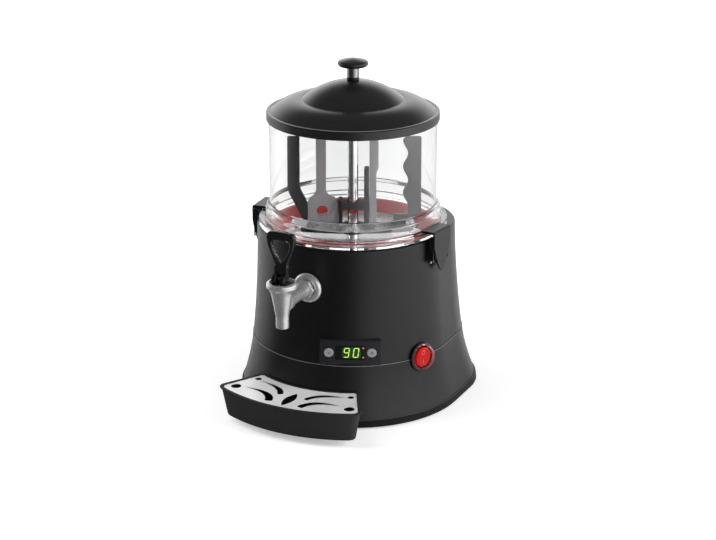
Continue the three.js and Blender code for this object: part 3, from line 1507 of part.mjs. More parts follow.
// How far along -Y a place at the hooks' distance from the middle lies on a circle
function hookReach(radius) {
  return Math.sqrt(radius ** 2 - trayHookPlace ** 2);
}

function grateOutline(inset) {
  return trayRing(grateSeat, trayWall + inset);
}

function trayPlace(across, along) {
  const back = skirtHalfWidthAt(trayRimHeight) + trayClearance;
  return polar(lerp(back, trayRimReach, along), degrees(trayHalfAngle) * across);
}

function crescent(shares, side) {
  const corner = ([across, along]) => trayPlace(across * side, along);
  const { x, y } = corner(shares.tip);
  const [backPull, backEnd, frontEnd, frontPull] =
    [shares.backPull, shares.backEnd, shares.frontEnd, shares.frontPull].map(corner);
  const shape = new THREE.Shape();
  shape.moveTo(x, y);
  shape.quadraticCurveTo(backPull.x, backPull.y, backEnd.x, backEnd.y);
  shape.lineTo(frontEnd.x, frontEnd.y);
  shape.quadraticCurveTo(frontPull.x, frontPull.y, x, y);
  return shape;
}

function leaf() {
  const foot = trayPlace(0, leafShares.foot);
  const tip = trayPlace(0, leafShares.tip);
  const middle = lerp(leafShares.foot, leafShares.tip, 0.5);
  const left = trayPlace(-2 * leafShares.half, middle);
  const right = trayPlace(2 * leafShares.half, middle);
  const shape = new THREE.Shape();
  shape.moveTo(foot.x, foot.y);
  shape.quadraticCurveTo(right.x, right.y, tip.x, tip.y);
  shape.quadraticCurveTo(left.x, left.y, foot.x, foot.y);
  return shape;
}

function trayGrate() {
  const foot = grateSeat + gap;
  const top = foot + grateWall;
  const depth = trayRimReach - skirtHalfWidthAt(trayRimHeight) - trayClearance;
  const level = (outline, height) => outline.map((point) => new THREE.Vector3(point.x, point.y, height));
  const plate = loft([level(grateOutline(gap), foot), level(grateOutline(gap), top)]);
  const cut = (shape) => slab(shape, foot - overrun, top + overrun, crescentFacets);
  const hole = (radiusShare, { across, along }, side) => {
    const { x, y } = trayPlace(across * side, along);
    return bar(radiusShare * depth, foot - overrun, top + overrun, grateHoleFacets).translate(x, y, 0);
  };
  const tools = [-1, 1].flatMap((side) => [
    hole(grateHoleRadiusShare, grateHoleShares, side),
    hole(grateSmallHoleRadiusShare, grateSmallHoleShares, side),
    cut(crescent(outerCrescentShares, side)),
    cut(crescent(innerCrescentShares, side)),
  ]);
  return piece('tray_grate', without(solid(plate), ...tools, cut(leaf())), 'brushedSteel');
}

function machine() {
  const group = new THREE.Group();
  group.add(
    basePlate(), ...feet(), lowerSkirt(), upperHousing(), cordGland(),
    heatingPan(), panGasket(), bathTank(),
    heaterRing(), thermalProbe(), outletPipe(), shaftTube(), bush('lower_bush', tubeFoot),
    bush('upper_bush', tubeTopHeight - bushRise), gearbox(), motor(), motorBracket(), bowl(), stirrer(),
    lid(), knobFerrule(), knobStem(), knob(), knobScrew(),
    tapFlange(), tapShankNut(), tapBody(), tapBonnet(), tapStem(), tapSpring(), tapHandle(), handlePin(),
    controlPanel(), powerSwitch(), ...clips(), dripTray(), trayGrate());
  group.position.y = (trayRimReach + trayLip - plateHalfWidth) / 2;
  return group;
}

export default machine();
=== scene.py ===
"""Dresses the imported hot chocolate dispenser: finishes, fine shapes, studio and camera.

Sizes are in millimetres about the bowl's axis, +Z up and the tap at -Y; heights count from a level that lies
FLOOR_DROP above the floor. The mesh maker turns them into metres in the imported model's frame.
"""
import json
import logging
import math
from collections.abc import Iterable, Sequence
from dataclasses import dataclass, replace
from enum import Enum
from typing import ClassVar

import bmesh
import bpy
from mathutils import Matrix, Vector


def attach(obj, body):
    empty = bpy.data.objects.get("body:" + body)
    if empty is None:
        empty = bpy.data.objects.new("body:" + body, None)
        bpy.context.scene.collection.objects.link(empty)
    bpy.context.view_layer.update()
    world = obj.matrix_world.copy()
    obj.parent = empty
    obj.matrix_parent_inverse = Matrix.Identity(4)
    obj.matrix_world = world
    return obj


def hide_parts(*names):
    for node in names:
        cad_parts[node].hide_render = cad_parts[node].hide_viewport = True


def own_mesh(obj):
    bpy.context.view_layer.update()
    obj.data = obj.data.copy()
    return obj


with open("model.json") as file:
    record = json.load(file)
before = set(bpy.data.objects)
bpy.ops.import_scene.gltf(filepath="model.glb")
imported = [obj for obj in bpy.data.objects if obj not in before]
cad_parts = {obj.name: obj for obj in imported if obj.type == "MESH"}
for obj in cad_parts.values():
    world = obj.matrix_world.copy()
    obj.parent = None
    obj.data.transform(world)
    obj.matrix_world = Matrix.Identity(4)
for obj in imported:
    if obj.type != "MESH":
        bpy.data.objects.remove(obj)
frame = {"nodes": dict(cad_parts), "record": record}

LOG = logging.getLogger("dispenser")
MM = 0.001
GAP = 0.3
WELD = 0.000002
DRAWN_WELD = 0.002
SHARP = 32.0
ROUNDED = 40.0
AXIS_SHIFT = 31.3
FLOOR_DROP = 7.5
EVEN = (1.0, 1.0, 1.0)
WHITE = (1.0, 1.0, 1.0, 1.0)
NOISE_RANGE = (0.3, 0.7)
FLOW_SIZE = 0.05
SMEAR_SIZE = 0.012
STAIN_SIZE = 0.03
WAVE_SIZE = 0.02
WAVE_STRETCH = (1.0, 1.0, 0.35)
SCRATCH_SIZE = 0.004
SCRATCH_STRETCH = (1.0, 1.0, 0.1)
SPOT_SIZE = 0.003

Point2 = tuple[float, float]
Ring = list[Vector]
Socket = bpy.types.NodeSocket


class Body(Enum):
    """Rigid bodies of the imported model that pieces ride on."""

    MACHINE = "machine"
    STIRRER = "stirrer"
    LID = "lid"
    LEVER = "tap_lever"
    LEFT_BUTTON = "left_button"
    RIGHT_BUTTON = "right_button"
    ROCKER = "rocker"
    LEFT_CLIP = "left_clip"
    RIGHT_CLIP = "right_clip"
    TRAY = "tray"
    GRATE = "grate"


class Side(Enum):
    """Sides of the machine as the photograph shows it."""

    LEFT = -1
    RIGHT = 1


class Change(Enum):
    """What tools do to a piece."""

    CUT = "DIFFERENCE"
    JOIN = "UNION"
    TRIM = "INTERSECT"


class Brush(Enum):
    """Ways in which a metal surface can be worked, as noise stretch along X, Y and Z."""

    NONE = EVEN
    ALONG_X = (0.04, 1.0, 1.0)
    AROUND_Z = (0.12, 0.12, 1.6)


class NodeNet:
    """Node tree with short calls that add and join nodes."""

    def __init__(self, tree: bpy.types.NodeTree) -> None:
        """Takes the tree that it fills."""
        self.tree = tree

    def add(self, kind: str, **settings: object) -> bpy.types.Node:
        """Adds a node.

        Args:
            kind: Node type without its ShaderNode prefix.
            **settings: Properties, or input sockets by name with _ for a blank.

        Returns:
            The new node.
        """
        node = self.tree.nodes.new("ShaderNode" + kind)
        for key, value in settings.items():
            if hasattr(node, key):
                setattr(node, key, value)
            else:
                node.inputs[key.replace("_", " ")].default_value = value
        return node

    def join(self, source: Socket, target: Socket) -> None:
        """Links an output socket to an input socket."""
        self.tree.links.new(source, target)

    def maths(self, operation: str, first: Socket, second: Socket | float) -> Socket:
        """Adds arithmetic on two values.

        Args:
            operation: Name of the operation.
            first: First value.
            second: Second value, or a fixed number.

        Returns:
            The result socket.
        """
        node = self.add("Math", operation=operation)
        self.join(first, node.inputs[0])
        if isinstance(second, float):
            node.inputs[1].default_value = second
        else:
            self.join(second, node.inputs[1])
        return node.outputs[0]

    def ramp(self, value: Socket, start: float, end: float, first: float = 0.0, last: float = 1.0) -> Socket:
        """Maps a value smoothly from one range to another.

        Args:
            value: Value to map.
            start: Where the first result holds.
            end: Where the last result holds.
            first: First result.
            last: Last result.

        Returns:
            The result socket.
        """
        node = self.add("MapRange", interpolation_type="SMOOTHSTEP", From_Min=start, From_Max=end, To_Min=first,
                        To_Max=last)
        self.join(value, node.inputs["Value"])
        return node.outputs["Result"]

    def towards(self, direction: Socket, way: Sequence[float]) -> Socket:
        """Gives the share of a direction that points a given way.

        Args:
            direction: Direction of length 1.
            way: The given way, also of length 1.

        Returns:
            The result socket.
        """
        node = self.add("VectorMath", operation="DOT_PRODUCT")
        node.inputs[1].default_value = way
        self.join(direction, node.inputs[0])
        return node.outputs["Value"]

    def mixed(self, share: Socket, first: Socket, second: Socket) -> Socket:
        """Mixes two shaders.

        Args:
            share: Share of the second one.
            first: First shader.
            second: Second shader.

        Returns:
            The shader socket.
        """
        node = self.add("MixShader")
        for source, target in zip((share, first, second), node.inputs):
            self.join(source, target)
        return node.outputs[0]


class NodeSheet(NodeNet):
    """Node tree of one material."""

    def __init__(self, name: str) -> None:
        """Makes an empty material.

        Args:
            name: Name of the material.
        """
        self.material = bpy.data.materials.new(name)
        self.material.use_nodes = True
        super().__init__(self.material.node_tree)
        self.shader = self.tree.nodes["Principled BSDF"]
        self.output = self.tree.nodes["Material Output"]

    def plain(self, **levels: float | tuple[float, ...]) -> None:
        """Sets the shader's own sockets, by name with _ for a blank."""
        for key, value in levels.items():
            self.shader.inputs[key.replace("_", " ")].default_value = value

    def drive(self, name: str, source: Socket) -> None:
        """Links an output socket to one of the shader's own."""
        self.join(source, self.shader.inputs[name])

    def place(self, stretch: Sequence[float] = EVEN) -> Socket:
        """Gives object coordinates, in metres.

        Args:
            stretch: Factor for each axis; under 1 draws a pattern out along it.

        Returns:
            The vector socket.
        """
        coordinates = self.add("TexCoord")
        mapping = self.add("Mapping", Scale=tuple(stretch))
        self.join(coordinates.outputs["Object"], mapping.inputs["Vector"])
        return mapping.outputs["Vector"]

    def noise(self, size: float, place: Socket, detail: float = 3.0) -> Socket:
        """Adds noise.

        Args:
            size: Size of its grains in metres.
            place: Coordinates to read.
            detail: Octaves of finer noise.

        Returns:
            The factor socket.
        """
        node = self.add("TexNoise", Scale=1.0 / size, Detail=detail)
        self.join(place, node.inputs["Vector"])
        return node.outputs["Fac"]

    def spread(self, factor: Socket, low: float, high: float) -> Socket:
        """Maps the usual range of noise to other limits.

        Args:
            factor: Socket with the noise.
            low: Result at the low end of NOISE_RANGE.
            high: Result at its high end.

        Returns:
            The result socket.
        """
        node = self.add("MapRange", From_Min=NOISE_RANGE[0], From_Max=NOISE_RANGE[1], To_Min=low, To_Max=high)
        self.join(factor, node.inputs["Value"])
        return node.outputs["Result"]

    def tinted(self, factor: Socket, first: Sequence[float], second: Sequence[float]) -> Socket:
        """Blends two colours.

        Args:
            factor: Share of the second colour.
            first: Colour at 0.
            second: Colour at 1.

        Returns:
            The colour socket.
        """
        node = self.add("Mix", data_type="RGBA")
        node.inputs[6].default_value = (*first, 1.0)
        node.inputs[7].default_value = (*second, 1.0)
        self.join(factor, node.inputs[0])
        return node.outputs[2]

    def bump(self, height: Socket, depth: float) -> Socket:
        """Raises the surface by a height.

        Args:
            height: Socket with the height, 0 to 1.
            depth: Depth in metres at 1.

        Returns:
            The normal socket.
        """
        node = self.add("Bump", Distance=depth, Strength=1.0)
        self.join(height, node.inputs["Height"])
        return node.outputs["Normal"]


@dataclass(frozen=True)
class Finish:
    """What every finish has: a name, a colour and the record's slot it belongs to."""

    UNEVEN: ClassVar[Point2] = (1.0, 1.0)

    name: str
    slot: str
    colour: tuple[float, float, float]
    roughness: float = 0.4

    def around(self, value: float) -> Point2:
        """Gives the least and the most that an uneven value comes to."""
        return value * self.UNEVEN[0], value * self.UNEVEN[1]

    def material(self) -> bpy.types.Material:
        """Makes the material once and finds it again after that."""
        return bpy.data.materials.get(self.name) or self.make(NodeSheet(self.name))

    def make(self, sheet: NodeSheet) -> bpy.types.Material:
        """Fills the sheet.

        Args:
            sheet: Empty sheet of this finish.

        Returns:
            The finished material.
        """
        raise NotImplementedError


@dataclass(frozen=True)
class Moulded(Finish):
    """Moulded plastic or rubber with a fine grain, faint flow marks and rubbed high spots."""

    UNEVEN: ClassVar[Point2] = (0.9, 1.12)

    grain: float = 0.0006
    depth: float = 0.00002
    specular: float = 0.5
    rubbed: float = 1.35
    coat: float = 0.0
    coat_roughness: float = 0.08
    glow: float = 0.0

    def make(self, sheet: NodeSheet) -> bpy.types.Material:
        """Grain by bump, flow marks by colour and roughness.

        Args:
            sheet: Empty sheet of this finish.

        Returns:
            The finished material.
        """
        place = sheet.place()
        flow = sheet.noise(FLOW_SIZE, place, 2.0)
        lighter = tuple(channel * self.rubbed for channel in self.colour)
        sheet.drive("Base Color", sheet.tinted(sheet.spread(flow, 0.0, 1.0), self.colour, lighter))
        smear = sheet.noise(SMEAR_SIZE, place, 4.0)
        sheet.drive("Roughness", sheet.spread(smear, *self.around(self.roughness)))
        sheet.drive("Normal", sheet.bump(sheet.noise(self.grain, place, 2.0), self.depth))
        sheet.plain(Specular_IOR_Level=self.specular, Coat_Weight=self.coat, Coat_Roughness=self.coat_roughness)
        if self.glow:
            sheet.plain(Emission_Color=(*self.colour, 1.0), Emission_Strength=self.glow)
        return sheet.material


@dataclass(frozen=True)
class Worked(Finish):
    """Metal with brush or lathe marks and a few stains."""

    UNEVEN: ClassVar[Point2] = (0.8, 1.25)

    brush: Brush = Brush.NONE
    grain: float = 0.0008
    depth: float = 0.000006
    anisotropy: float = 0.0
    metal: float = 1.0
    stained: float = 0.86

    def make(self, sheet: NodeSheet) -> bpy.types.Material:
        """Marks by stretched noise in roughness, colour and bump.

        Args:
            sheet: Empty sheet of this finish.

        Returns:
            The finished material.
        """
        place = sheet.place(self.brush.value)
        marks = sheet.noise(self.grain, place, 4.0)
        stains = sheet.noise(STAIN_SIZE, sheet.place(), 3.0)
        darker = tuple(channel * self.stained for channel in self.colour)
        sheet.drive("Base Color", sheet.tinted(sheet.spread(stains, 0.0, 1.0), self.colour, darker))
        sheet.drive("Roughness", sheet.spread(marks, *self.around(self.roughness)))
        sheet.drive("Normal", sheet.bump(marks, self.depth))
        sheet.plain(Metallic=self.metal, Anisotropic=self.anisotropy)
        return sheet.material


@dataclass(frozen=True)
class Clear(Finish):
    """Clear moulded plastic with slight waves and hairline scratches."""

    refraction: float = 1.49
    wave: float = 0.00003

    def make(self, sheet: NodeSheet) -> bpy.types.Material:
        """Full transmission with a little bump.

        Args:
            sheet: Empty sheet of this finish.

        Returns:
            The finished material.
        """
        sheet.drive("Normal", sheet.bump(sheet.noise(WAVE_SIZE, sheet.place(WAVE_STRETCH), 1.0), self.wave))
        hair = sheet.noise(SCRATCH_SIZE, sheet.place(SCRATCH_STRETCH), 5.0)
        sheet.drive("Roughness", sheet.spread(hair, 0.0, self.roughness))
        sheet.plain(Base_Color=(*self.colour, 1.0), Transmission_Weight=1.0, IOR=self.refraction)
        return sheet.material


@dataclass(frozen=True)
class Lamp(Finish):
    """Lit display segment or indicator."""

    UNEVEN: ClassVar[Point2] = (0.85, 1.1)

    strength: float = 1.0

    def make(self, sheet: NodeSheet) -> bpy.types.Material:
        """Emission that is a little uneven.

        Args:
            sheet: Empty sheet of this finish.

        Returns:
            The finished material.
        """
        spots = sheet.noise(SPOT_SIZE, sheet.place(), 2.0)
        sheet.drive("Emission Strength", sheet.spread(spots, *self.around(self.strength)))
        colour = (*self.colour, 1.0)
        sheet.plain(Emission_Color=colour, Base_Color=colour, Roughness=self.roughness)
        return sheet.material


SATIN_BLACK = Moulded(
    "satin_black", "body_black", (0.0032, 0.0033, 0.0035), 0.33, grain=0.0007, depth=0.000012, specular=0.43)
BASE_BLACK = Moulded("base_black", "body_black", (0.0035, 0.0035, 0.0037), 0.5, grain=0.0008, specular=0.2)
# Light grey for thin bands on the seam and on the lid's rim: a painted highlight where these edges catch the light.
EDGE_HIGHLIGHT = Moulded("painted_edge_highlight", "body_black", (0.16, 0.16, 0.165), 0.3, grain=0.0007)
# Dimmer grey for the band on the base plate's top edge: a painted highlight line, kept faint.
FAINT_EDGE_HIGHLIGHT = Moulded("painted_faint_edge_highlight", "body_black", (0.05, 0.05, 0.052), 0.4, grain=0.0007, specular=0.3)
TRAY_BLACK = Moulded(
    "tray_black", "tray_black", (0.0028, 0.0028, 0.003), 0.38, grain=0.0008, depth=0.00002, specular=0.3)
LID_BLACK = Moulded(
    "lid_black", "lid_black", (0.0026, 0.0026, 0.0028), 0.2, grain=0.0012, depth=0.000008, specular=1.0)
GRIP_BLACK = Moulded("grip_black", "handle_black", (0.0042, 0.0042, 0.0045), 0.27, grain=0.0009, depth=0.00001)
PANEL_BLACK = Moulded("panel_black", "panel_black", (0.003, 0.003, 0.0034), 0.2, grain=0.001, depth=0.000005)
SMOKED = Moulded("smoked_window", "window_smoked", (0.0025, 0.0035, 0.0025), 0.08, grain=0.004, depth=0.000002)
RUBBER = Moulded("black_rubber", "rubber_black", (0.012, 0.012, 0.012), 0.7, grain=0.0005, depth=0.00004)
BUTTON_GREY = Moulded("button_grey", "button_grey", (0.54, 0.6, 0.64), 0.35, grain=0.0006, rubbed=1.1)
MARK_DARK = Moulded("button_mark", "button_grey", (0.05, 0.055, 0.06), 0.35, grain=0.0006, rubbed=1.2)
STIRRER_BLACK = Moulded("stirrer_black", "stirrer_black", (0.005, 0.005, 0.0053), 0.38, grain=0.0007)
STIRRER_GREY = Moulded("stirrer_grey", "stirrer_grey", (0.86, 0.86, 0.865), 0.42, grain=0.0007, rubbed=1.05)
# Lighter grey copy of the stirrer's black: a painted sheen for the wavy blade, which meets the light at another angle
# than the plain one.
STIRRER_PAINTED_SHEEN = Moulded("stirrer_painted_sheen", "stirrer_black", (0.055, 0.055, 0.056), 0.4, grain=0.0007)
GASKET_RED = Moulded("red_silicone", "gasket_red", (0.52, 0.035, 0.03), 0.42, grain=0.0012, rubbed=1.1)
ROCKER_RED = Moulded(
    "red_lens", "rocker_red", (0.5, 0.006, 0.008), 0.16, grain=0.002, rubbed=1.2, coat=0.3, glow=0.18)
MARK_WHITE = Moulded("rocker_mark", "rocker_red", (0.8, 0.4, 0.38), 0.3, grain=0.001, rubbed=1.05)
BOARD_GREEN = Moulded("board_green", "board_green", (0.02, 0.12, 0.05), 0.35, grain=0.0012, coat=0.3)
POLISHED = Worked("polished_steel", "polished_steel", (0.82, 0.82, 0.83), 0.07, Brush.AROUND_Z, 0.0006, 0.000003)
# Darker copy of the polished steel: painted shade for the stem on the lid, which shows dark.
SHADED_STEEL = Worked("steel_painted_shade", "polished_steel", (0.3, 0.3, 0.31), 0.12, Brush.AROUND_Z, 0.0006, 0.000003)
PAN_STEEL = Worked(
    "spun_steel", "pan_steel", (0.75, 0.75, 0.76), 0.3, Brush.AROUND_Z, 0.001, 0.000006, 0.4, metal=0.7)
GRATE_STEEL = Worked(
    "brushed_steel", "grate_steel", (0.95, 0.95, 0.95), 0.35, Brush.ALONG_X, 0.0007, 0.000006, 0.4, metal=0.3)
NICKEL = Worked("satin_nickel", "tap_metal", (0.7, 0.7, 0.695), 0.28, Brush.NONE, 0.0009, 0.000004, metal=0.8)
PLATED = Worked("plated_steel", "plated_steel", (0.46, 0.47, 0.48), 0.42, Brush.NONE, 0.0015, 0.00002)
BRONZE = Worked("turned_bronze", "bronze", (0.5, 0.33, 0.14), 0.35, Brush.AROUND_Z, 0.001, 0.000008)
BOWL_CLEAR = Clear("clear_bowl", "bowl_clear", (0.995, 1.0, 1.0), 0.03, refraction=1.45)
BOOT_CLEAR = Clear("clear_boot", "boot_clear", (0.86, 0.4, 0.4), 0.1, refraction=1.22, wave=0.0001)
DIGIT_GREEN = Lamp("digit_green", "window_smoked", (0.4, 0.7, 0.12), 0.4, strength=0.9)
# Dim glowing green patch round the digits: a painted glow that stands in for their light spreading in the window.
DIGIT_PAINTED_GLOW = Moulded("digit_painted_glow", "window_smoked", (0.012, 0.032, 0.006), 0.2, grain=0.003, glow=0.45)
POINT_RED = Lamp("point_red", "window_smoked", (0.9, 0.16, 0.12), 0.4, strength=0.9)

CAD_FINISHES: dict[str, Finish] = {
    "body_black": SATIN_BLACK, "rubber_black": RUBBER, "pan_steel": PAN_STEEL, "gasket_red": GASKET_RED,
    "plated_steel": PLATED, "bronze": BRONZE, "polished_steel": POLISHED, "bowl_clear": BOWL_CLEAR,
    "stirrer_black": STIRRER_BLACK, "stirrer_grey": STIRRER_GREY, "lid_black": LID_BLACK, "tap_metal": NICKEL,
    "handle_black": GRIP_BLACK, "panel_black": PANEL_BLACK, "window_smoked": SMOKED, "button_grey": BUTTON_GREY,
    "board_green": BOARD_GREEN, "rocker_red": ROCKER_RED, "boot_clear": BOOT_CLEAR, "tray_black": TRAY_BLACK,
    "grate_steel": GRATE_STEEL,
}


def arc(centre: Point2, radius: float, start: float, end: float, steps: int) -> list[Point2]:
    """Gives points on an arc.

    Args:
        centre: Middle of the circle.
        radius: Radius.
        start: First angle in degrees.
        end: Last angle in degrees.
        steps: Number of parts.

    Returns:
        The points, both ends included.
    """
    turns = [math.radians(start + (end - start) * step / steps) for step in range(steps + 1)]
    return [(centre[0] + radius * math.cos(turn), centre[1] + radius * math.sin(turn)) for turn in turns]


def bulged(start: Point2, end: Point2, bulge: float, steps: int) -> list[Point2]:
    """Gives an arc that stands out to the right of the way from start to end.

    Args:
        start: First point.
        end: Last point.
        bulge: How far the middle stands out; negative for the left.
        steps: Number of parts.

    Returns:
        The points, both ends included.
    """
    first, last = Vector(start), Vector(end)
    chord = last - first
    radius = (chord.length_squared / 4 + bulge**2) / (2 * bulge)
    left = Vector((-chord.y, chord.x)).normalized()
    centre = (first + last) / 2 + left * (radius - bulge)
    sweep = 2 * math.asin(chord.length / 2 / radius)
    points = []
    for step in range(steps + 1):
        turned = Matrix.Rotation(sweep * step / steps, 2) @ (first - centre)
        points.append(tuple(centre + turned))
    return points


def softened(corners: Sequence[tuple[float, ...]], steps: int = 6) -> list[Point2]:
    """Rounds the corners of a closed outline.

    Args:
        corners: Corners as x, y and, where wanted, how far the rounding reaches.
        steps: Parts of each rounding.

    Returns:
        The outline's points.
    """
    points: list[Point2] = []
    for index, corner in enumerate(corners):
        here = Vector(corner[:2])
        reach = corner[2] if len(corner) > 2 else 0.0
        if not reach:
            points.append(tuple(here))
            continue
        start = here + (Vector(corners[index - 1][:2]) - here).normalized() * reach
        end = here + (Vector(corners[(index + 1) % len(corners)][:2]) - here).normalized() * reach
        points.extend(quadratic(tuple(start), tuple(here), tuple(end), steps))
    return points


def quadratic(start: Point2, pull: Point2, end: Point2, steps: int) -> list[Point2]:
    """Gives points on a curve with one control point.

    Args:
        start: First point.
        pull: Control point.
        end: Last point.
        steps: Number of parts.

    Returns:
        The points, both ends included.
    """
    a, b, c = Vector(start), Vector(pull), Vector(end)
    shares = [step / steps for step in range(steps + 1)]
    return [tuple(a * (1 - t) ** 2 + b * 2 * t * (1 - t) + c * t * t) for t in shares]


def rectangle(width: float, height: float, rounding: float = 0.0) -> list[Point2]:
    """Gives a rectangle about the origin, with rounded corners where a rounding is given."""
    x, y = width / 2, height / 2
    return softened([(-x, -y, rounding), (x, -y, rounding), (x, y, rounding), (-x, y, rounding)])


def circle(radius: float, centre: Point2 = (0.0, 0.0), steps: int = 48) -> list[Point2]:
    """Gives a circle's points."""
    return arc(centre, radius, 0, 360, steps)[:-1]


def moved(outline: Sequence[Point2], across: float, along: float) -> list[Point2]:
    """Gives an outline moved by an offset."""
    return [(x + across, y + along) for x, y in outline]


def mix(first: float, last: float, share: float) -> float:
    """Gives the value at a share of the way between two others."""
    return first + (last - first) * share


def heading(azimuth: float, lift: float = 0.0) -> Vector:
    """Gives the direction at an angle from the front towards +X and one above the floor, in degrees."""
    turn, rise = math.radians(azimuth), math.radians(lift)
    return Vector((math.sin(turn) * math.cos(rise), -math.cos(turn) * math.cos(rise), math.sin(rise)))


def put(name: str, data: bpy.types.ID) -> bpy.types.Object:
    """Makes an object and puts it in the scene.

    Args:
        name: Name of the object.
        data: Mesh, curve, lamp or camera that it shows.

    Returns:
        The object.
    """
    thing = bpy.data.objects.new(name, data)
    bpy.context.scene.collection.objects.link(thing)
    return thing


def shade(mesh: bpy.types.Mesh, sharp: float) -> None:
    """Shades a mesh smooth, with edges over an angle in degrees kept sharp."""
    mesh.polygons.foreach_set("use_smooth", [True] * len(mesh.polygons))
    mesh.set_sharp_from_angle(angle=math.radians(sharp))


@dataclass(frozen=True)
class Place:
    """Where a piece drawn in the XY plane goes: its Y turns up and its +Z looks out of the wall."""

    azimuth: float = 0.0
    reach: float = 0.0
    height: float = 0.0
    tilt: float = 0.0
    across: float = 0.0

    def matrix(self) -> Matrix:
        """Turns the piece's own millimetres into the machine's."""
        turn = Matrix.Rotation(math.radians(self.azimuth), 4, "Z")
        move = Matrix.Translation((self.across, -self.reach, self.height))
        lean = Matrix.Rotation(math.radians(90 - self.tilt), 4, "X")
        return turn @ move @ lean


UPRIGHT = Matrix.Rotation(math.radians(90), 4, "X")
FLAT = Matrix.Identity(4)


class Maker:
    """Makes smooth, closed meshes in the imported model's frame and fits them to its bodies."""

    def __init__(self) -> None:
        """Starts with the shift of the bowl's axis from the model's origin."""
        self.to_frame = Matrix.Scale(MM, 4) @ Matrix.Translation((0, AXIS_SHIFT, FLOOR_DROP))

    def finish_mesh(self, name: str, mesh: bmesh.types.BMesh, place: Matrix, sharp: float = SHARP) -> bpy.types.Object:
        """Welds, orients and shades a mesh and makes an object of it.

        Args:
            name: Name of the piece.
            mesh: Mesh in the piece's own millimetres; it is freed.
            place: Matrix into the machine's millimetres.
            sharp: Angle in degrees over which an edge stays sharp.

        Returns:
            The object.
        """
        bmesh.ops.remove_doubles(mesh, verts=mesh.verts, dist=DRAWN_WELD)
        mesh.transform(self.to_frame @ place)
        bmesh.ops.recalc_face_normals(mesh, faces=mesh.faces)
        if mesh.calc_volume(signed=True) < 0:
            bmesh.ops.reverse_faces(mesh, faces=mesh.faces)
        data = bpy.data.meshes.new(name)
        mesh.to_mesh(data)
        mesh.free()
        shade(data, sharp)
        return put(name, data)

    def lofted(self, name: str, rings: Sequence[Ring], place: Matrix = FLAT, capped: bool = True,
               sharp: float = SHARP) -> bpy.types.Object:
        """Skins rings that all have as many points.

        Args:
            name: Name of the piece.
            rings: Rings from first to last.
            place: Matrix into the machine's millimetres.
            capped: True to close the first and last ring; False to join them to each other.
            sharp: Angle in degrees over which an edge stays sharp.

        Returns:
            The object.
        """
        mesh = bmesh.new()
        rows = [[mesh.verts.new(point) for point in ring] for ring in rings]
        pairs = list(zip(rows, rows[1:])) + ([] if capped else [(rows[-1], rows[0])])
        for low, high in pairs:
            for i in range(len(low)):
                j = (i + 1) % len(low)
                mesh.faces.new((low[i], low[j], high[j], high[i]))
        if capped:
            mesh.faces.new(reversed(rows[0]))
            mesh.faces.new(rows[-1])
        return self.finish_mesh(name, mesh, place, sharp)

    def turned(self, name: str, outline: Sequence[Point2], place: Matrix = FLAT, steps: int = 96,
               sharp: float = SHARP) -> bpy.types.Object:
        """Turns an outline about Z; it closes on itself or starts and ends on the axis.

        Args:
            name: Name of the piece.
            outline: Points as radius and height.
            place: Matrix into the machine's millimetres.
            steps: Number of faces around.
            sharp: Angle in degrees over which an edge stays sharp.

        Returns:
            The object.
        """
        mesh = bmesh.new()
        columns = []
        on_axis = 0.0001
        for radius, height in outline:
            if radius < on_axis:
                columns.append([mesh.verts.new((0, 0, height))] * steps)
            else:
                columns.append([mesh.verts.new((x, y, height)) for x, y in circle(radius, steps=steps)])
        solid = outline[0][0] < on_axis
        pairs = list(zip(columns, columns[1:])) + ([] if solid else [(columns[-1], columns[0])])
        for low, high in pairs:
            for i in range(steps):
                j = (i + 1) % steps
                corners = list(dict.fromkeys((low[i], low[j], high[j], high[i])))
                if len(corners) > 2:
                    mesh.faces.new(corners)
        return self.finish_mesh(name, mesh, place, sharp)

    def rod(self, name: str, radius: float, low: float, high: float, place: Matrix = FLAT,
            steps: int = 64) -> bpy.types.Object:
        """Turns a plain bar along Z, to cut or join with.

        Args:
            name: Name of the piece.
            radius: Its radius.
            low: Z of its foot.
            high: Z of its top.
            place: Matrix into the machine's millimetres.
            steps: Number of faces around.

        Returns:
            The object.
        """
        return self.turned(name, [(0, low), (radius, low), (radius, high), (0, high)], place, steps)

    def plate(self, name: str, outline: Sequence[Point2], low: float, high: float, place: Matrix = FLAT,
              holes: Iterable[Sequence[Point2]] = (), edge: float = 0.0) -> bpy.types.Object:
        """Makes a plate with holes and rounded edges from outlines in its XY plane.

        Args:
            name: Name of the piece.
            outline: Outer outline.
            low: Z of its back.
            high: Z of its front.
            place: Matrix into the machine's millimetres.
            holes: Outlines of its holes.
            edge: Radius of its edges.

        Returns:
            The object.
        """
        curve = bpy.data.curves.new(name, "CURVE")
        curve.dimensions = "2D"
        curve.fill_mode = "BOTH"
        curve.extrude = (high - low) / 2 - edge
        curve.bevel_depth = edge
        curve.bevel_resolution = 2
        curve.offset = -edge
        for loop in (outline, *holes):
            spline = curve.splines.new("POLY")
            spline.points.add(len(loop) - 1)
            for point, (x, y) in zip(spline.points, loop):
                point.co = (x, y, 0, 1)
            spline.use_cyclic_u = True
        holder = put(name, curve)
        mesh = bmesh.new()
        mesh.from_mesh(self.evaluated(holder))
        bpy.data.objects.remove(holder)
        bmesh.ops.translate(mesh, verts=mesh.verts, vec=(0, 0, (low + high) / 2))
        return self.finish_mesh(name, mesh, place)

    def evaluated(self, piece: bpy.types.Object) -> bpy.types.Mesh:
        """Gives a copy of the mesh that an object's modifiers or curve settings make."""
        bpy.context.view_layer.update()
        return bpy.data.meshes.new_from_object(piece.evaluated_get(bpy.context.evaluated_depsgraph_get()))

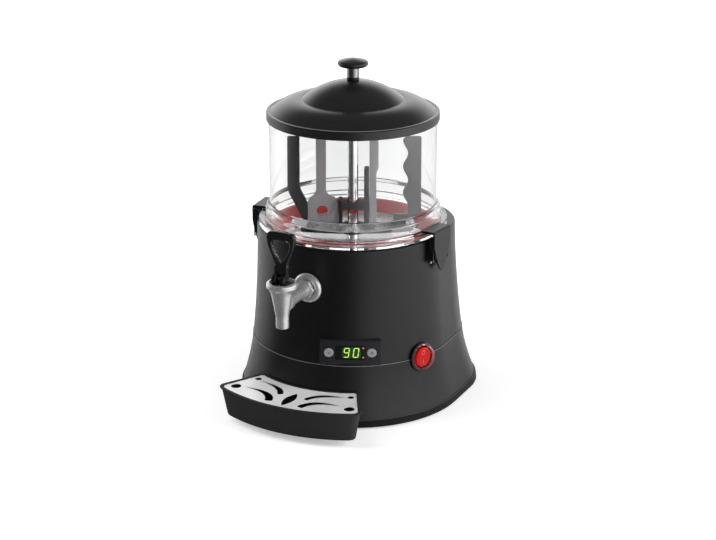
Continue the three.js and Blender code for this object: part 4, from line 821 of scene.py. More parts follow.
    def combined(self, piece: bpy.types.Object, tools: Sequence[bpy.types.Object], change: Change,
                 edge: float = 0.0) -> None:
        """Changes a piece with tools, and removes the tools.

        Args:
            piece: Piece to change.
            tools: Closed meshes.
            change: What the tools do.
            edge: Width of the rounding on the sharp edges after it, in millimetres.
        """
        for tool in tools:
            modifier = piece.modifiers.new(tool.name, "BOOLEAN")
            modifier.operation = change.value
            modifier.solver = "EXACT"
            modifier.object = tool
        if edge:
            self.bevelled(piece, edge)
        data = self.evaluated(piece)
        piece.modifiers.clear()
        piece.data = data
        mesh = bmesh.new()
        mesh.from_mesh(data)
        bmesh.ops.remove_doubles(mesh, verts=mesh.verts, dist=WELD)
        bmesh.ops.dissolve_degenerate(mesh, edges=mesh.edges, dist=WELD)
        mesh.to_mesh(data)
        mesh.free()
        shade(data, SHARP)
        for tool in tools:
            bpy.data.objects.remove(tool)

    def bevelled(self, piece: bpy.types.Object, width: float) -> None:
        """Adds rounding to a piece's sharp edges as a modifier.

        Args:
            piece: Piece to round.
            width: Width of the rounding in millimetres.
        """
        modifier = piece.modifiers.new("edge", "BEVEL")
        modifier.width = width * MM
        modifier.segments = 2
        modifier.limit_method = "ANGLE"
        modifier.angle_limit = math.radians(ROUNDED)
        modifier.harden_normals = False

    def fit(self, piece: bpy.types.Object, finish: Finish, body: Body, *nodes: str) -> None:
        """Gives a piece its finish and its body.

        Args:
            piece: Piece in its place.
            finish: Finish of its surface.
            body: Body that it rides on.
            *nodes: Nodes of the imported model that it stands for.
        """
        piece.data.materials.clear()
        piece.data.materials.append(finish.material())
        shading = piece.modifiers.new("shading", "WEIGHTED_NORMAL")
        shading.keep_sharp = True
        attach(piece, body.value)
        if nodes:
            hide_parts(*nodes)
        LOG.info("%s rides on %s as %s", piece.name, body.value, finish.name)


@dataclass
class Assembly:
    """Sub-assembly that makes its own pieces."""

    maker: Maker

    def build(self) -> None:
        """Makes all its pieces."""
        raise NotImplementedError


@dataclass
class Housing(Assembly):
    """D-shaped black body: upper shell, flared skirt and base plate."""

    plate_half: float = 157.0
    plate_foot: float = -5.5
    plate_top: float = 4.5
    seam: float = 76.5
    deck: float = 234.2
    wall: float = 3.0
    top_half: float = 130.6
    seam_half: float = 138.5
    skirt_half: float = 139.2
    flare_half: float = 154.3
    shoulder: float = 3.0
    foot_share: float = 0.66
    top_share: float = 0.79
    seat_radius: float = 121.0
    seat_floor: float = 230.8
    bore_radius: float = 110.0
    vent_count: int = 9
    vent_pitch: float = 10.0
    vent_size: Point2 = (4.0, 30.0)
    vent: Place = Place(180.0, 138.0, 125.0)
    shank: Place = Place(0.0, 132.0, 180.0)
    shank_hole: float = 9.3
    gland: Place = Place(180.0, 148.7, 24.6, 15.1)
    gland_hole: float = 6.3
    hook: Place = Place(0.0, 143.0, 27.0)
    hook_slot: Point2 = (10.6, 3.6)
    panel_edge: Point2 = (82.4, 35.4)
    panel_pocket: Point2 = (80.6, 33.6)
    panel_opening: Point2 = (70.6, 28.6)
    switch_hole: float = 17.8
    hook_place: float = 42.0
    foot_place: Point2 = (98.0, 92.0)
    panel: Place = Place(25.0, 135.9, 95.0)
    switch: Place = Place(67.8, 139.5, 76.0, 7.0)

    def wall_half(self, height: float) -> float:
        """Gives the upper shell's half width at a height."""
        drop = (self.deck - height) / (self.deck - self.seam)
        return self.top_half + (self.seam_half - self.top_half) * drop**2

    def skirt_at(self, height: float) -> float:
        """Gives the skirt's half width at a height."""
        drop = max((self.seam - height) / (self.seam - self.plate_top), 0.0)
        return self.skirt_half + (self.flare_half - self.skirt_half) * drop**1.5

    def ring(self, half: float, inset: float, height: float) -> Ring:
        """Gives a level outline: a half circle in front, rounded corners behind.

        Args:
            half: Half width of the outer wall.
            inset: How far the ring lies inside it.
            height: Height of the ring.

        Returns:
            The ring's points.
        """
        share = mix(self.foot_share, self.top_share, (height - self.plate_top) / (self.deck - self.plate_top))
        corner = half * share - inset
        side = half - inset - corner
        points = arc((0, 0), half - inset, 180, 360, 96)
        points += arc((side, side), corner, 0, 90, 24)
        points += arc((-side, side), corner, 90, 180, 24)
        return [Vector((x, y, height)) for x, y in points]

    def panel_tools(self) -> list[bpy.types.Object]:
        """Cutters for the panel's pocket and opening."""
        place = self.panel.matrix()
        pocket = self.maker.plate("pocket_tool", rectangle(*self.panel_pocket, 3), 0, 8, place)
        opening = self.maker.plate("opening_tool", rectangle(*self.panel_opening), -14, 8, place)
        return [pocket, opening]

    def round_tool(self, name: str, radius: float, low: float, high: float, place: Place) -> bpy.types.Object:
        """Cutter for a round hole in the wall."""
        return self.maker.rod(name, radius, low, high, place.matrix())

    def switch_tool(self) -> bpy.types.Object:
        """Cutter for the power switch's hole."""
        return self.round_tool("switch_tool", self.switch_hole, -16, 8, self.switch)

    def upper_shell(self) -> None:
        """Upper shell with its deck, seat, vents and openings."""
        foot = self.seam + GAP / 2
        bend = self.deck - self.shoulder
        outer = []
        for step in range(25):
            height = mix(foot, bend, step / 24)
            outer.append(self.ring(self.wall_half(height), 0, height))
        for x, z in arc((0, 0), self.shoulder, 12, 90, 6):
            height = bend + z
            outer.append(self.ring(self.wall_half(height), self.shoulder - x, height))
        inner = [self.ring(self.wall_half(z), self.wall, z) for z in (self.seam - 6, 120, 170, self.deck - 6.5)]
        shell = self.maker.lofted("housing_shell", outer)
        above = self.deck + 10.8
        vents = []
        for index in range(self.vent_count):
            place = replace(self.vent, across=(index - (self.vent_count - 1) / 2) * self.vent_pitch)
            vents.append(self.maker.plate("vent_tool", rectangle(*self.vent_size, 2), -20, 20, place.matrix()))
        tools = [
            self.maker.lofted("inner_tool", inner),
            self.maker.rod("seat_tool", self.seat_radius, self.seat_floor, above, steps=144),
            self.maker.rod("bore_tool", self.bore_radius, 200, above, steps=144),
            self.round_tool("shank_tool", self.shank_hole, -20, 20, self.shank),
            self.switch_tool(), *self.panel_tools(), *vents,
        ]
        self.maker.combined(shell, tools, Change.CUT)
        self.maker.fit(shell, SATIN_BLACK, Body.MACHINE, "upper_housing")
        surround = self.maker.plate(
            "panel_surround", rectangle(*self.panel_edge, 3.6), -9, 1.3, self.panel.matrix(), edge=0.35)
        self.maker.combined(surround, self.panel_tools(), Change.CUT)
        self.maker.fit(surround, PANEL_BLACK, Body.MACHINE)

    def skirt(self) -> None:
        """Flared skirt with the lip that enters the upper shell and the slots for the tray's hooks."""
        foot, top = self.plate_top + GAP, self.seam - GAP / 2
        outer = [self.ring(self.skirt_at(z), 0, z) for z in (mix(foot, top - 0.5, step / 20) for step in range(21))]
        for inset, height in ((0.15, top - 0.15), (0.5, top), (4.3, top), (4.3, self.seam + 5)):
            outer.append(self.ring(self.skirt_half, inset, height))
        inner = [self.ring(self.skirt_at(z), self.wall, z) for z in (foot - 6, 18, 33, 50, 66.5)]
        inner += [self.ring(self.skirt_half, 6.3, z) for z in (68.5, self.seam + 11)]
        skirt = self.maker.lofted("flared_skirt", outer)
        slots = []
        for side in Side:
            place = replace(self.hook, across=side.value * self.hook_place)
            slots.append(self.maker.plate("hook_slot_tool", rectangle(*self.hook_slot), -16, 12, place.matrix()))
        gland = self.round_tool("gland_tool", self.gland_hole, -17, 6, self.gland)
        tools = [
            self.maker.lofted("skirt_inner_tool", inner), *slots, gland, *self.panel_tools(), self.switch_tool(),
        ]
        self.maker.combined(skirt, tools, Change.CUT)
        self.maker.fit(skirt, SATIN_BLACK, Body.MACHINE, "lower_skirt")

    def base(self) -> None:
        """Base plate whose rim shows below the skirt."""
        foot, top = self.plate_foot, self.plate_top
        section = ((0.8, foot), (0, foot + 0.8), (0.9, top - 1.2), (1.4, top - 0.4), (2.2, top))
        plate = self.maker.lofted("base_rim", [self.ring(self.plate_half, inset, z) for inset, z in section])
        inner = self.maker.lofted("base_tool", [self.ring(self.plate_half, 5, z) for z in (foot + 3, 18)])
        across, along = self.foot_place
        holes = [
            self.maker.rod("foot_tool", 4.3, -5, 12, Matrix.Translation((x, y, -FLOOR_DROP)), 32)
            for x in (-across, across) for y in (-along, along)
        ]
        self.maker.combined(plate, [inner, *holes], Change.CUT)
        self.maker.fit(plate, BASE_BLACK, Body.MACHINE, "base_plate")

    def bead(self, name: str, half: float, low: float, high: float, finish: Finish,
             tools: Sequence[bpy.types.Object] = ()) -> None:
        """Makes a thin band round the body whose lighter finish is a painted highlight along an edge.

        Args:
            name: Name of the piece.
            half: Half of its width.
            low: Height of its foot.
            high: Height of its top.
            finish: Finish of its surface.
            tools: Cutters for what interrupts it.
        """
        edge = self.maker.lofted(name, [self.ring(half, 0, low), self.ring(half, 0, high)])
        inner = self.maker.lofted("bead_tool", [self.ring(half, 0.9, low - 1), self.ring(half, 0.9, high + 1)])
        self.maker.combined(edge, [inner, *tools], Change.CUT)
        self.maker.fit(edge, finish, Body.MACHINE)

    def build(self) -> None:
        """Makes all pieces of the body."""
        self.upper_shell()
        self.skirt()
        self.base()
        # Thin lighter bands on the seam and on the base plate's top edge: painted highlight lines.
        self.bead("seam_edge", self.skirt_half + 0.12, self.seam - 0.9, self.seam - 0.25, EDGE_HIGHLIGHT,
                  [self.switch_tool(), *self.panel_tools()])
        self.bead("base_edge", self.flare_half + 1.2, self.plate_top - 0.3, self.plate_top + 0.35, FAINT_EDGE_HIGHLIGHT)


class Segment(Enum):
    """Strokes of a seven-segment digit, as the ends of each on a grid one wide and two high."""

    TOP = ((0, 2), (1, 2))
    UPPER_LEFT = ((0, 2), (0, 1))
    UPPER_RIGHT = ((1, 2), (1, 1))
    MIDDLE = ((0, 1), (1, 1))
    LOWER_LEFT = ((0, 1), (0, 0))
    LOWER_RIGHT = ((1, 1), (1, 0))
    BOTTOM = ((0, 0), (1, 0))


@dataclass
class ControlPanel(Assembly):
    """Bezel with a smoked window, two lit digits, two points and two buttons."""

    place: Place = Place(25.0, 135.9, 95.0)
    width: float = 80.0
    height: float = 33.0
    front: float = 2.1
    window: Point2 = (40.0, 19.0)
    button_place: float = 28.5
    button_radius: float = 6.2
    shank_step: float = 0.3
    shank_foot: float = -1.9
    digit_width: float = 6.4
    digit_height: float = 12.6
    digit_pitch: float = 12.6
    stroke: float = 1.15
    slant: float = 0.13
    digit_middle: float = 1.3
    point_place: Point2 = (17.2, 6.6)

    def film(self, name: str, outline: Sequence[Point2], finish: Finish, low: float = 0.15, high: float = 0.05) -> None:
        """Lays a thin lit shape on the window.

        Args:
            name: Name of the piece.
            outline: Its outline.
            finish: Finish of its surface.
            low: How far its back lies behind the panel's front.
            high: How far its face lies behind the panel's front.
        """
        film = self.maker.plate(name, outline, self.front - low, self.front - high, self.place.matrix())
        self.maker.fit(film, finish, Body.MACHINE)

    def frame(self) -> None:
        """Bezel and window."""
        holes = [rectangle(self.window[0] + 0.6, self.window[1] + 0.6, 1.2)]
        holes += [circle(self.button_radius + GAP, (side * self.button_place, 0)) for side in (-1, 1)]
        bezel = self.maker.plate("panel_bezel", rectangle(self.width, self.height, 3), GAP, self.front,
                                 self.place.matrix(), holes, edge=0.5)
        self.maker.fit(bezel, PANEL_BLACK, Body.MACHINE, "display_bezel")
        glass = self.maker.plate("smoked_window", rectangle(*self.window, 1), GAP, self.front - 0.15,
                                 self.place.matrix(), edge=0.2)
        self.maker.fit(glass, SMOKED, Body.MACHINE, "display_window")

    def digit(self, name: str, across: float, strokes: Sequence[Segment]) -> None:
        """Lays one digit on the window.

        Args:
            name: Name of the digit's pieces.
            across: Its middle, from the panel's middle.
            strokes: Strokes that are lit.
        """
        half = self.stroke / 2
        for index, stroke in enumerate(strokes):
            ends = []
            for column, row in stroke.value:
                y = (row - 1) * self.digit_height / 2
                ends.append(Vector((across + (column - 0.5) * self.digit_width + y * self.slant, y)))
            along = (ends[1] - ends[0]).normalized()
            side = Vector((-along.y, along.x)) * half
            start, end = ends[0] + along * half * 0.35, ends[1] - along * half * 0.35
            outline = [
                start, start + along * half - side, end - along * half - side,
                end, end - along * half + side, start + along * half + side,
            ]
            self.film(f"{name}_stroke_{index}", [tuple(point) for point in outline], DIGIT_GREEN)

    def lamps(self) -> None:
        """Digits, a painted glow round them, their points and the two red points beside them."""
        nine = [stroke for stroke in Segment if stroke is not Segment.LOWER_LEFT]
        zero = [stroke for stroke in Segment if stroke is not Segment.MIDDLE]
        # Dim green film that glows round the digits: a painted glow of their light.
        self.film("digit_painted_glow", moved(rectangle(25, 15.5, 5), self.digit_middle, 0), DIGIT_PAINTED_GLOW, 0.2, 0.12)
        self.digit("digit_tens", self.digit_middle - self.digit_pitch / 2, nine)
        self.digit("digit_units", self.digit_middle + self.digit_pitch / 2, zero)
        across, along = self.point_place
        for index, height in enumerate((along, -along)):
            self.film(f"red_point_{index}", circle(0.95, (across, height), 24), POINT_RED)

    def button(self, side: Side, node: str, body: Body) -> None:
        """Domed button with a raised ring and an arrow, down on the left one and up on the right one.

        Args:
            side: Side of the window.
            node: Node that it stands for.
            body: Body that it rides on.
        """
        place = self.place.matrix() @ Matrix.Translation((side.value * self.button_place, 0, 0))
        top, foot, radius = self.front + 0.8, self.shank_foot, self.button_radius
        shank = radius - self.shank_step
        outline = [
            (0, foot), (shank - 0.4, foot), (shank, foot + 0.4), (shank, 0.6), (radius, 0.9), (radius, top - 0.9),
            *bulged((radius - 0.1, top - 0.7), (4.9, top), 0.15, 4), (4.4, top - 0.12), (4.1, top - 0.3),
            (0, top - 0.3),
        ]
        self.maker.fit(self.maker.turned(f"cap_{node}", outline, place, 64), BUTTON_GREY, body, node)
        arrow = [(x, y * side.value) for x, y in ((-2.5, -1.3), (0, 1.9), (2.5, -1.3), (0, -0.2))]
        mark = self.maker.plate(f"mark_{node}", arrow, top - 0.3, top - 0.15, place)
        self.maker.fit(mark, MARK_DARK, body)

    def build(self) -> None:
        """Makes all pieces of the panel."""
        self.frame()
        self.lamps()
        self.button(Side.LEFT, "button_left", Body.LEFT_BUTTON)
        self.button(Side.RIGHT, "button_right", Body.RIGHT_BUTTON)


@dataclass
class PowerSwitch(Assembly):
    """Round rocker in a black body under a clear boot."""

    place: Place = Place(67.8, 139.5, 76.0, 7.0)
    flange: float = 20.0
    flange_rise: float = 3.2
    barrel: float = 17.5
    cavity: float = 15.2
    rocker: float = 13.8
    lean: float = 6.0
    boot: float = 17.0
    boot_rise: float = 7.0
    mark_place: float = 6.2

    def body(self) -> None:
        """Switch body with a rounded flange."""
        outline = [
            (0, -16), (self.barrel - 1, -16), (self.barrel, -15), (self.barrel, 0), (self.flange - 0.4, 0),
            (self.flange, 0.5), *bulged((self.flange, 1.2), (self.flange - 2, self.flange_rise), 0.45, 6),
            (self.cavity + 0.5, self.flange_rise), (self.cavity, self.flange_rise - 0.5), (self.cavity, -10), (0, -10),
        ]
        shell = self.maker.turned("switch_shell", outline, self.place.matrix(), 96)
        self.maker.fit(shell, PANEL_BLACK, Body.MACHINE, "switch_body")

    def lens(self) -> None:
        """Red rocker, leaning to its pressed half, with a ring and a bar as marks."""
        place = self.place.matrix() @ Matrix.Rotation(math.radians(self.lean), 4, "X")
        radius = self.rocker
        outline = [
            (0, -4), (radius - 2, -4), (radius, 0), *bulged((radius, 1.8), (radius - 1.8, 3.6), 0.5, 5),
            *bulged((radius - 2.2, 3.6), (0, 2.7), -0.15, 8),
        ]
        lens = self.maker.turned("rocker_lens", outline, place, 96)
        self.maker.fit(lens, ROCKER_RED, Body.ROCKER, "power_rocker")
        inner, outer = (circle(size, (0, self.mark_place), 40) for size in (2.2, 3.1))
        bar = moved(rectangle(1.0, 6.0, 0.3), 0, -self.mark_place)
        for name, shape, holes in (("rocker_ring", outer, [inner]), ("rocker_bar", bar, [])):
            self.maker.fit(self.maker.plate(name, shape, 3.05, 3.35, place, holes), MARK_WHITE, Body.ROCKER)

    def cover(self) -> None:
        """Clear domed boot."""
        foot = self.flange_rise + GAP
        top = foot + self.boot_rise
        outer, inner = self.boot, self.boot - 1.0
        roof = bulged((outer, top - 4), (outer - 5, top), 1.2, 6)
        ceiling = bulged((inner, top - 4.5), (inner - 4.5, top - 1), 1.1, 6)
        outline = [(0, top - 1), *reversed(ceiling), (inner, foot), (outer, foot), *roof, (0, top)]
        cover = self.maker.turned("boot_dome", outline, self.place.matrix(), 96)
        self.maker.fit(cover, BOOT_CLEAR, Body.MACHINE, "switch_boot")

    def build(self) -> None:
        """Makes all pieces of the switch."""
        self.body()
        self.lens()
        self.cover()


@dataclass
class Bowl(Assembly):
    """Clear bowl with a stepped foot, the pan under it, its gasket and the shaft's tube."""

    radius: float = 113.6
    wall: float = 3.0
    rim: float = 385.0
    seat: float = 234.5
    foot_radius: float = 128.5
    foot_rise: float = 8.5
    riser: float = 119.0
    riser_top: float = 257.0
    pan_top: float = 232.3
    pan_floor: float = 219.0
    tube: float = 7.5

    def vessel(self) -> None:
        """Bowl turned with small radii at each change of its wall."""
        bore = self.radius - self.wall
        step = self.seat + self.foot_rise
        outline = [
            (self.riser - self.wall, self.seat), (self.foot_radius - 0.8, self.seat),
            *arc((self.foot_radius - 0.8, self.seat + 0.8), 0.8, -90, 0, 3),
            *arc((self.foot_radius - 1.8, step - 1.8), 1.8, 0, 90, 6),
            *reversed(arc((self.riser + 2, step + 2), 2, 180, 270, 6)),
            *arc((self.riser - 3, self.riser_top - 1), 3, 0, 60, 5),
            *reversed(arc((self.radius + 4, self.riser_top + 9.5), 4, 180, 235, 5)),
            *arc((self.radius - 1, self.rim - 1), 1, 0, 90, 3), *arc((bore + 1, self.rim - 1), 1, 90, 180, 3),
            (bore, self.riser_top + 5), (self.riser - self.wall, self.riser_top - 3),
        ]
        vessel = self.maker.turned("bowl_wall", outline, steps=192, sharp=60)
        self.maker.fit(vessel, BOWL_CLEAR, Body.MACHINE, "bowl")

    def pan(self) -> None:
        """Spun steel pan with rounded bends and a hole for the outlet."""
        top, floor = self.pan_top, self.pan_floor
        outline = [
            (self.tube + GAP, floor - 1.2), (86.6, floor - 1.2), (88.4, floor - 0.6), (92.6, 219.9), (109.6, 231.1),
            (120.7, 231.1), (120.7, top), (110.2, top), (109, top - 0.4), (92.2, 221.3), (90, 220), (86, floor),
            (30, floor), (self.tube + GAP, floor),
        ]
        pan = self.maker.turned("pan_shell", outline, steps=144)
        drain = self.maker.rod("drain_tool", 8.3, 210, 225, Matrix.Translation((0, -74, 0)), 40)
        self.maker.combined(pan, [drain], Change.CUT)
        self.maker.fit(pan, PAN_STEEL, Body.MACHINE, "heating_pan")

    def gasket(self) -> None:
        """Red silicone ring with its lip on the pan's cone and two beads."""
        outline = [
            (92.5, 221.8), (109, 232.65), (120.2, 232.65), *bulged((120.2, 232.7), (118.4, 234.15), 0.4, 5),
            (112, 234.15), (109.4, 234.0), (100.6, 228.8), *bulged((100.0, 228.6), (97.4, 226.6), 0.7, 6),
            (93.4, 223.8), (92.4, 223.2),
        ]
        ring = self.maker.turned("gasket_ring", outline, steps=144)
        self.maker.fit(ring, GASKET_RED, Body.MACHINE, "pan_gasket")

    def mast(self) -> None:
        """Polished tube round the drive shaft."""
        bore = self.tube - 1.3
        outline = [(bore, 186.1), (self.tube, 186.1), (self.tube, 355.4), (self.tube - 0.6, 356), (bore, 356)]
        self.maker.fit(self.maker.turned("mast_tube", outline, steps=64), POLISHED, Body.MACHINE, "shaft_tube")

    def build(self) -> None:
        """Makes all pieces of the bowl."""
        self.vessel()
        self.pan()
        self.gasket()
        self.mast()


@dataclass
class Stirrer(Assembly):
    """Black hub and blades with a grey wing and strip, drawn across and up from the bowl's axis."""

    azimuth: float = 116.5
    foot: float = 233.3
    half: float = 1.25
    blade_half: float = 2.5

    def turn(self) -> Matrix:
        """Turns what lies flat to the stirrer's azimuth."""
        return Matrix.Rotation(math.radians(self.azimuth - 90), 4, "Z")

    def matrix(self) -> Matrix:
        """Turns the stirrer's own plane into the machine's."""
        return self.turn() @ UPRIGHT

    def add(self, name: str, corners: Sequence[tuple[float, ...]], half: float, finish: Finish, node: str,
            holes: Iterable[Sequence[Point2]] = ()) -> None:
        """Makes one flat blade.

        Args:
            name: Name of the piece.
            corners: Corners with their roundings.
            half: Half of its thickness.
            finish: Finish of its surface.
            node: Node that it stands for.
            holes: Outlines of its holes.
        """
        piece = self.maker.plate(name, softened(corners), -half, half, self.matrix(), holes, edge=0.6)
        self.maker.fit(piece, finish, Body.STIRRER, node)

    def wing(self) -> None:
        """Grey wing with an arched cut-out under its strip."""
        arch, crown = 249.2, 257
        slot = [
            (-46.5, self.foot + 7), (-49.5, arch), *quadratic((-49.5, arch), (-49.5, crown), (-41.8, crown), 8),
            *quadratic((-41.8, crown), (-34, crown), (-34, arch), 8), (-37, self.foot + 7),
        ]
        corners = [
            (-61, self.foot), (-19.9, self.foot), (-19.9, 267.2, 6.8), (-36.4, 274, 6.8), (-36.4, 361, 1),
            (-50, 361, 1), (-50, 274, 6.8), (-61, 267.2, 3.4),
        ]
        self.add("grey_wing", corners, self.half, STIRRER_GREY, "stirrer_wing", [slot])

    def strip(self) -> None:
        """Grey strip on the other side of the tube."""
        corners = [
            (22.1, self.foot), (31.8, self.foot), (31.8, 303, 3), (34.5, 308.4, 3), (34.5, 361, 1), (22.1, 361, 1),
        ]
        self.add("grey_strip", corners, self.half, STIRRER_GREY, "stirrer_strip")

    def plain_blade(self) -> None:
        """Black blade with a bend."""
        corners = [
            (-67.3, self.foot, 1), (-61.3, self.foot, 1), (-61.3, 262.4, 6), (-72, 281.5, 8), (-72, 353, 2),
            (-88.6, 353, 2), (-88.6, 279, 8), (-67.3, 237, 3),
        ]
        self.add("plain_blade", corners, self.blade_half, STIRRER_BLACK, "stirrer_plain_blade")

    def wavy_blade(self) -> None:
        """Black blade whose inner edge runs in waves, finished lighter grey as a painted sheen."""
        middle, swing, half_waves, steps = 70.85, 3.45, 5, 60
        wave = []
        for step in range(steps + 1):
            share = step / steps
            wave.append((middle - swing * math.cos(share * half_waves * math.pi), mix(348, 257, share)))
        corners = [
            (55, self.foot, 1), (83.2, self.foot), (92.2, self.foot + 9, 8), (92.2, 353, 2.2), (middle, 353, 1.5),
            *wave, (74.3, self.foot + 12.5, 3), (55, self.foot + 12.5, 2),
        ]
        self.add("wavy_blade", corners, self.blade_half, STIRRER_PAINTED_SHEEN, "stirrer_wavy_blade")

    def hub(self) -> None:
        """Hub: arm, collar round the tube, band, leg and post in one piece."""
        matrix = self.matrix()
        arm = self.maker.plate("hub_frame", moved(rectangle(150, 7, 3), 5, 229.5), -4, 4, matrix, edge=0.8)
        collar = self.maker.rod("collar_tool", 12.8, 226, 233)
        band = self.maker.plate("band_tool", softened([
            (-19.6, 254.4, 0.8), (21.8, 254.4, 0.8), (21.8, 263, 0.8), (-14.1, 263), (-14.1, 267, 1), (-19.6, 267, 1),
        ]), -10, 10, matrix, edge=0.8)
        leg = self.maker.plate("leg_tool", [(-19.5, 226.4), (-14.2, 226.4), (-14.2, 262), (-19.5, 262)], -5, 5, matrix)
        post = self.maker.plate("post_tool", softened([
            (14.9, 226.4), (21.7, 226.4), (21.7, 311, 2), (14.9, 311, 3.4),
        ]), -5, 5, matrix, edge=0.8)
        self.maker.combined(arm, [collar, band, leg, post], Change.JOIN)
        self.maker.combined(arm, [self.maker.rod("hub_bore_tool", 8.1, 220, 269)], Change.CUT)
        self.maker.fit(arm, STIRRER_BLACK, Body.STIRRER, "stirrer_hub")

    def cap(self) -> None:
        """Bridge over the strips that takes the shaft's end."""
        top = 367.3
        bridge = self.maker.plate(
            "cap_bridge", moved(rectangle(84.5, 10, 4), -7.75, 0), 361.3, top, self.turn(), edge=0.8)
        socket = self.maker.turned("cap_tool", [(0, 356.6), (8.4, 356.6), (9, 357.2), (9, top), (0, top)], steps=48)
        self.maker.combined(bridge, [socket], Change.JOIN)
        self.maker.combined(bridge, [self.maker.rod("cap_bore_tool", 4.3, 350, 365.3, steps=32)], Change.CUT)
        self.maker.fit(bridge, STIRRER_BLACK, Body.STIRRER, "stirrer_cap")

    def build(self) -> None:
        """Makes all pieces of the stirrer."""
        self.hub()
        self.wing()
        self.strip()
        self.plain_blade()
        self.wavy_blade()
        self.cap()


@dataclass
class Lid(Assembly):
    """Two-stepped domed lid with a rim band, a ferrule, a steel stem and a black knob."""

    radius: float = 116.4
    rim_foot: float = 378.0
    rim_rise: float = 11.8
    bore: float = 114.2
    dome_radius: float = 109.5
    step_radius: float = 67.0
    step_height: float = 405.5
    apex: float = 430.5
    wall: float = 2.5
    dome_bulge: float = 4.4
    crown_bulge: float = 5.75
    knob_radius: float = 20.7

    def shell(self) -> None:
        """Lid shell with small radii at the rim and a crease between its domes, and a light ring on the rim that is a
        painted highlight.
        """
        rim = self.rim_foot + self.rim_rise
        under = (self.step_radius - 1.2, self.step_height - self.wall)
        shoulder = (self.step_radius + 0.9, self.step_height - 0.5)
        outline = [
            (self.bore, self.rim_foot + 0.6), (self.bore + 0.6, self.rim_foot),
            *arc((self.radius - 0.8, self.rim_foot + 0.8), 0.8, -90, 0, 3),
            *arc((self.radius - 1.6, rim - 1.6), 1.6, 0, 90, 5),
            (self.dome_radius + 1.6, rim + 0.05),
            *bulged((self.dome_radius, rim + 0.8), shoulder, self.dome_bulge, 18),
            *bulged((self.step_radius + 0.4, self.step_height + 0.1), (3.3, self.apex), self.crown_bulge, 24),
            *bulged((3.3, self.apex - self.wall), under, -self.crown_bulge, 12),
            *bulged((under[0], under[1] - 0.2), (self.dome_radius - 2.5, rim - 2.5), -self.dome_bulge, 10),
            (self.dome_radius - 2.5, 385.3), (self.bore, 385.3),
        ]
        self.maker.fit(self.maker.turned("lid_shell", outline, steps=192, sharp=24), LID_BLACK, Body.LID, "lid")
        # Light grey ring along the rim's top: a painted highlight line.
        inner, outer = self.radius - 4.0, self.radius - 1.8
        edge = [(inner, rim - 0.3), (outer, rim - 0.3), (outer, rim + 0.15), (inner, rim + 0.25)]
        self.maker.fit(self.maker.turned("rim_edge", edge, steps=192), EDGE_HIGHLIGHT, Body.LID)

    def knob(self) -> None:
        """Ferrule, stem and mushroom knob, one on another."""
        ferrule = [(3.3, 430.8), (8.0, 430.8), (8.4, 431.2), (8.4, 433.7), (7.9, 434.2), (3.3, 434.2)]
        self.maker.fit(self.maker.turned("stem_ferrule", ferrule, steps=64), SATIN_BLACK, Body.LID, "knob_ferrule")
        stem = [(3.3, 434.5), (7.9, 434.5), (8.1, 434.8), (8.1, 447.6), (7.9, 447.9), (3.3, 447.9)]
        # Stem in a darker copy of polished steel: painted shade.
        self.maker.fit(self.maker.turned("stem_sleeve", stem, steps=64), SHADED_STEEL, Body.LID, "knob_stem")
        rim = (self.knob_radius, 453.3)
        outline = [
            (0, 453.5), (3.3, 453.5), (3.3, 448.2), (10.6, 448.2), (11.1, 448.4), *bulged((17.4, 448.9), rim, 0.9, 8),
            *bulged(rim, (self.knob_radius - 3.4, 456.7), 0.75, 6)[1:],
            *bulged((self.knob_radius - 3.4, 456.7), (0, 459.8), 0.5, 10)[1:],
        ]
        self.maker.fit(self.maker.turned("knob_disc", outline, steps=96), LID_BLACK, Body.LID, "knob")

    def build(self) -> None:
        """Makes all pieces of the lid."""
        self.shell()
        self.knob()


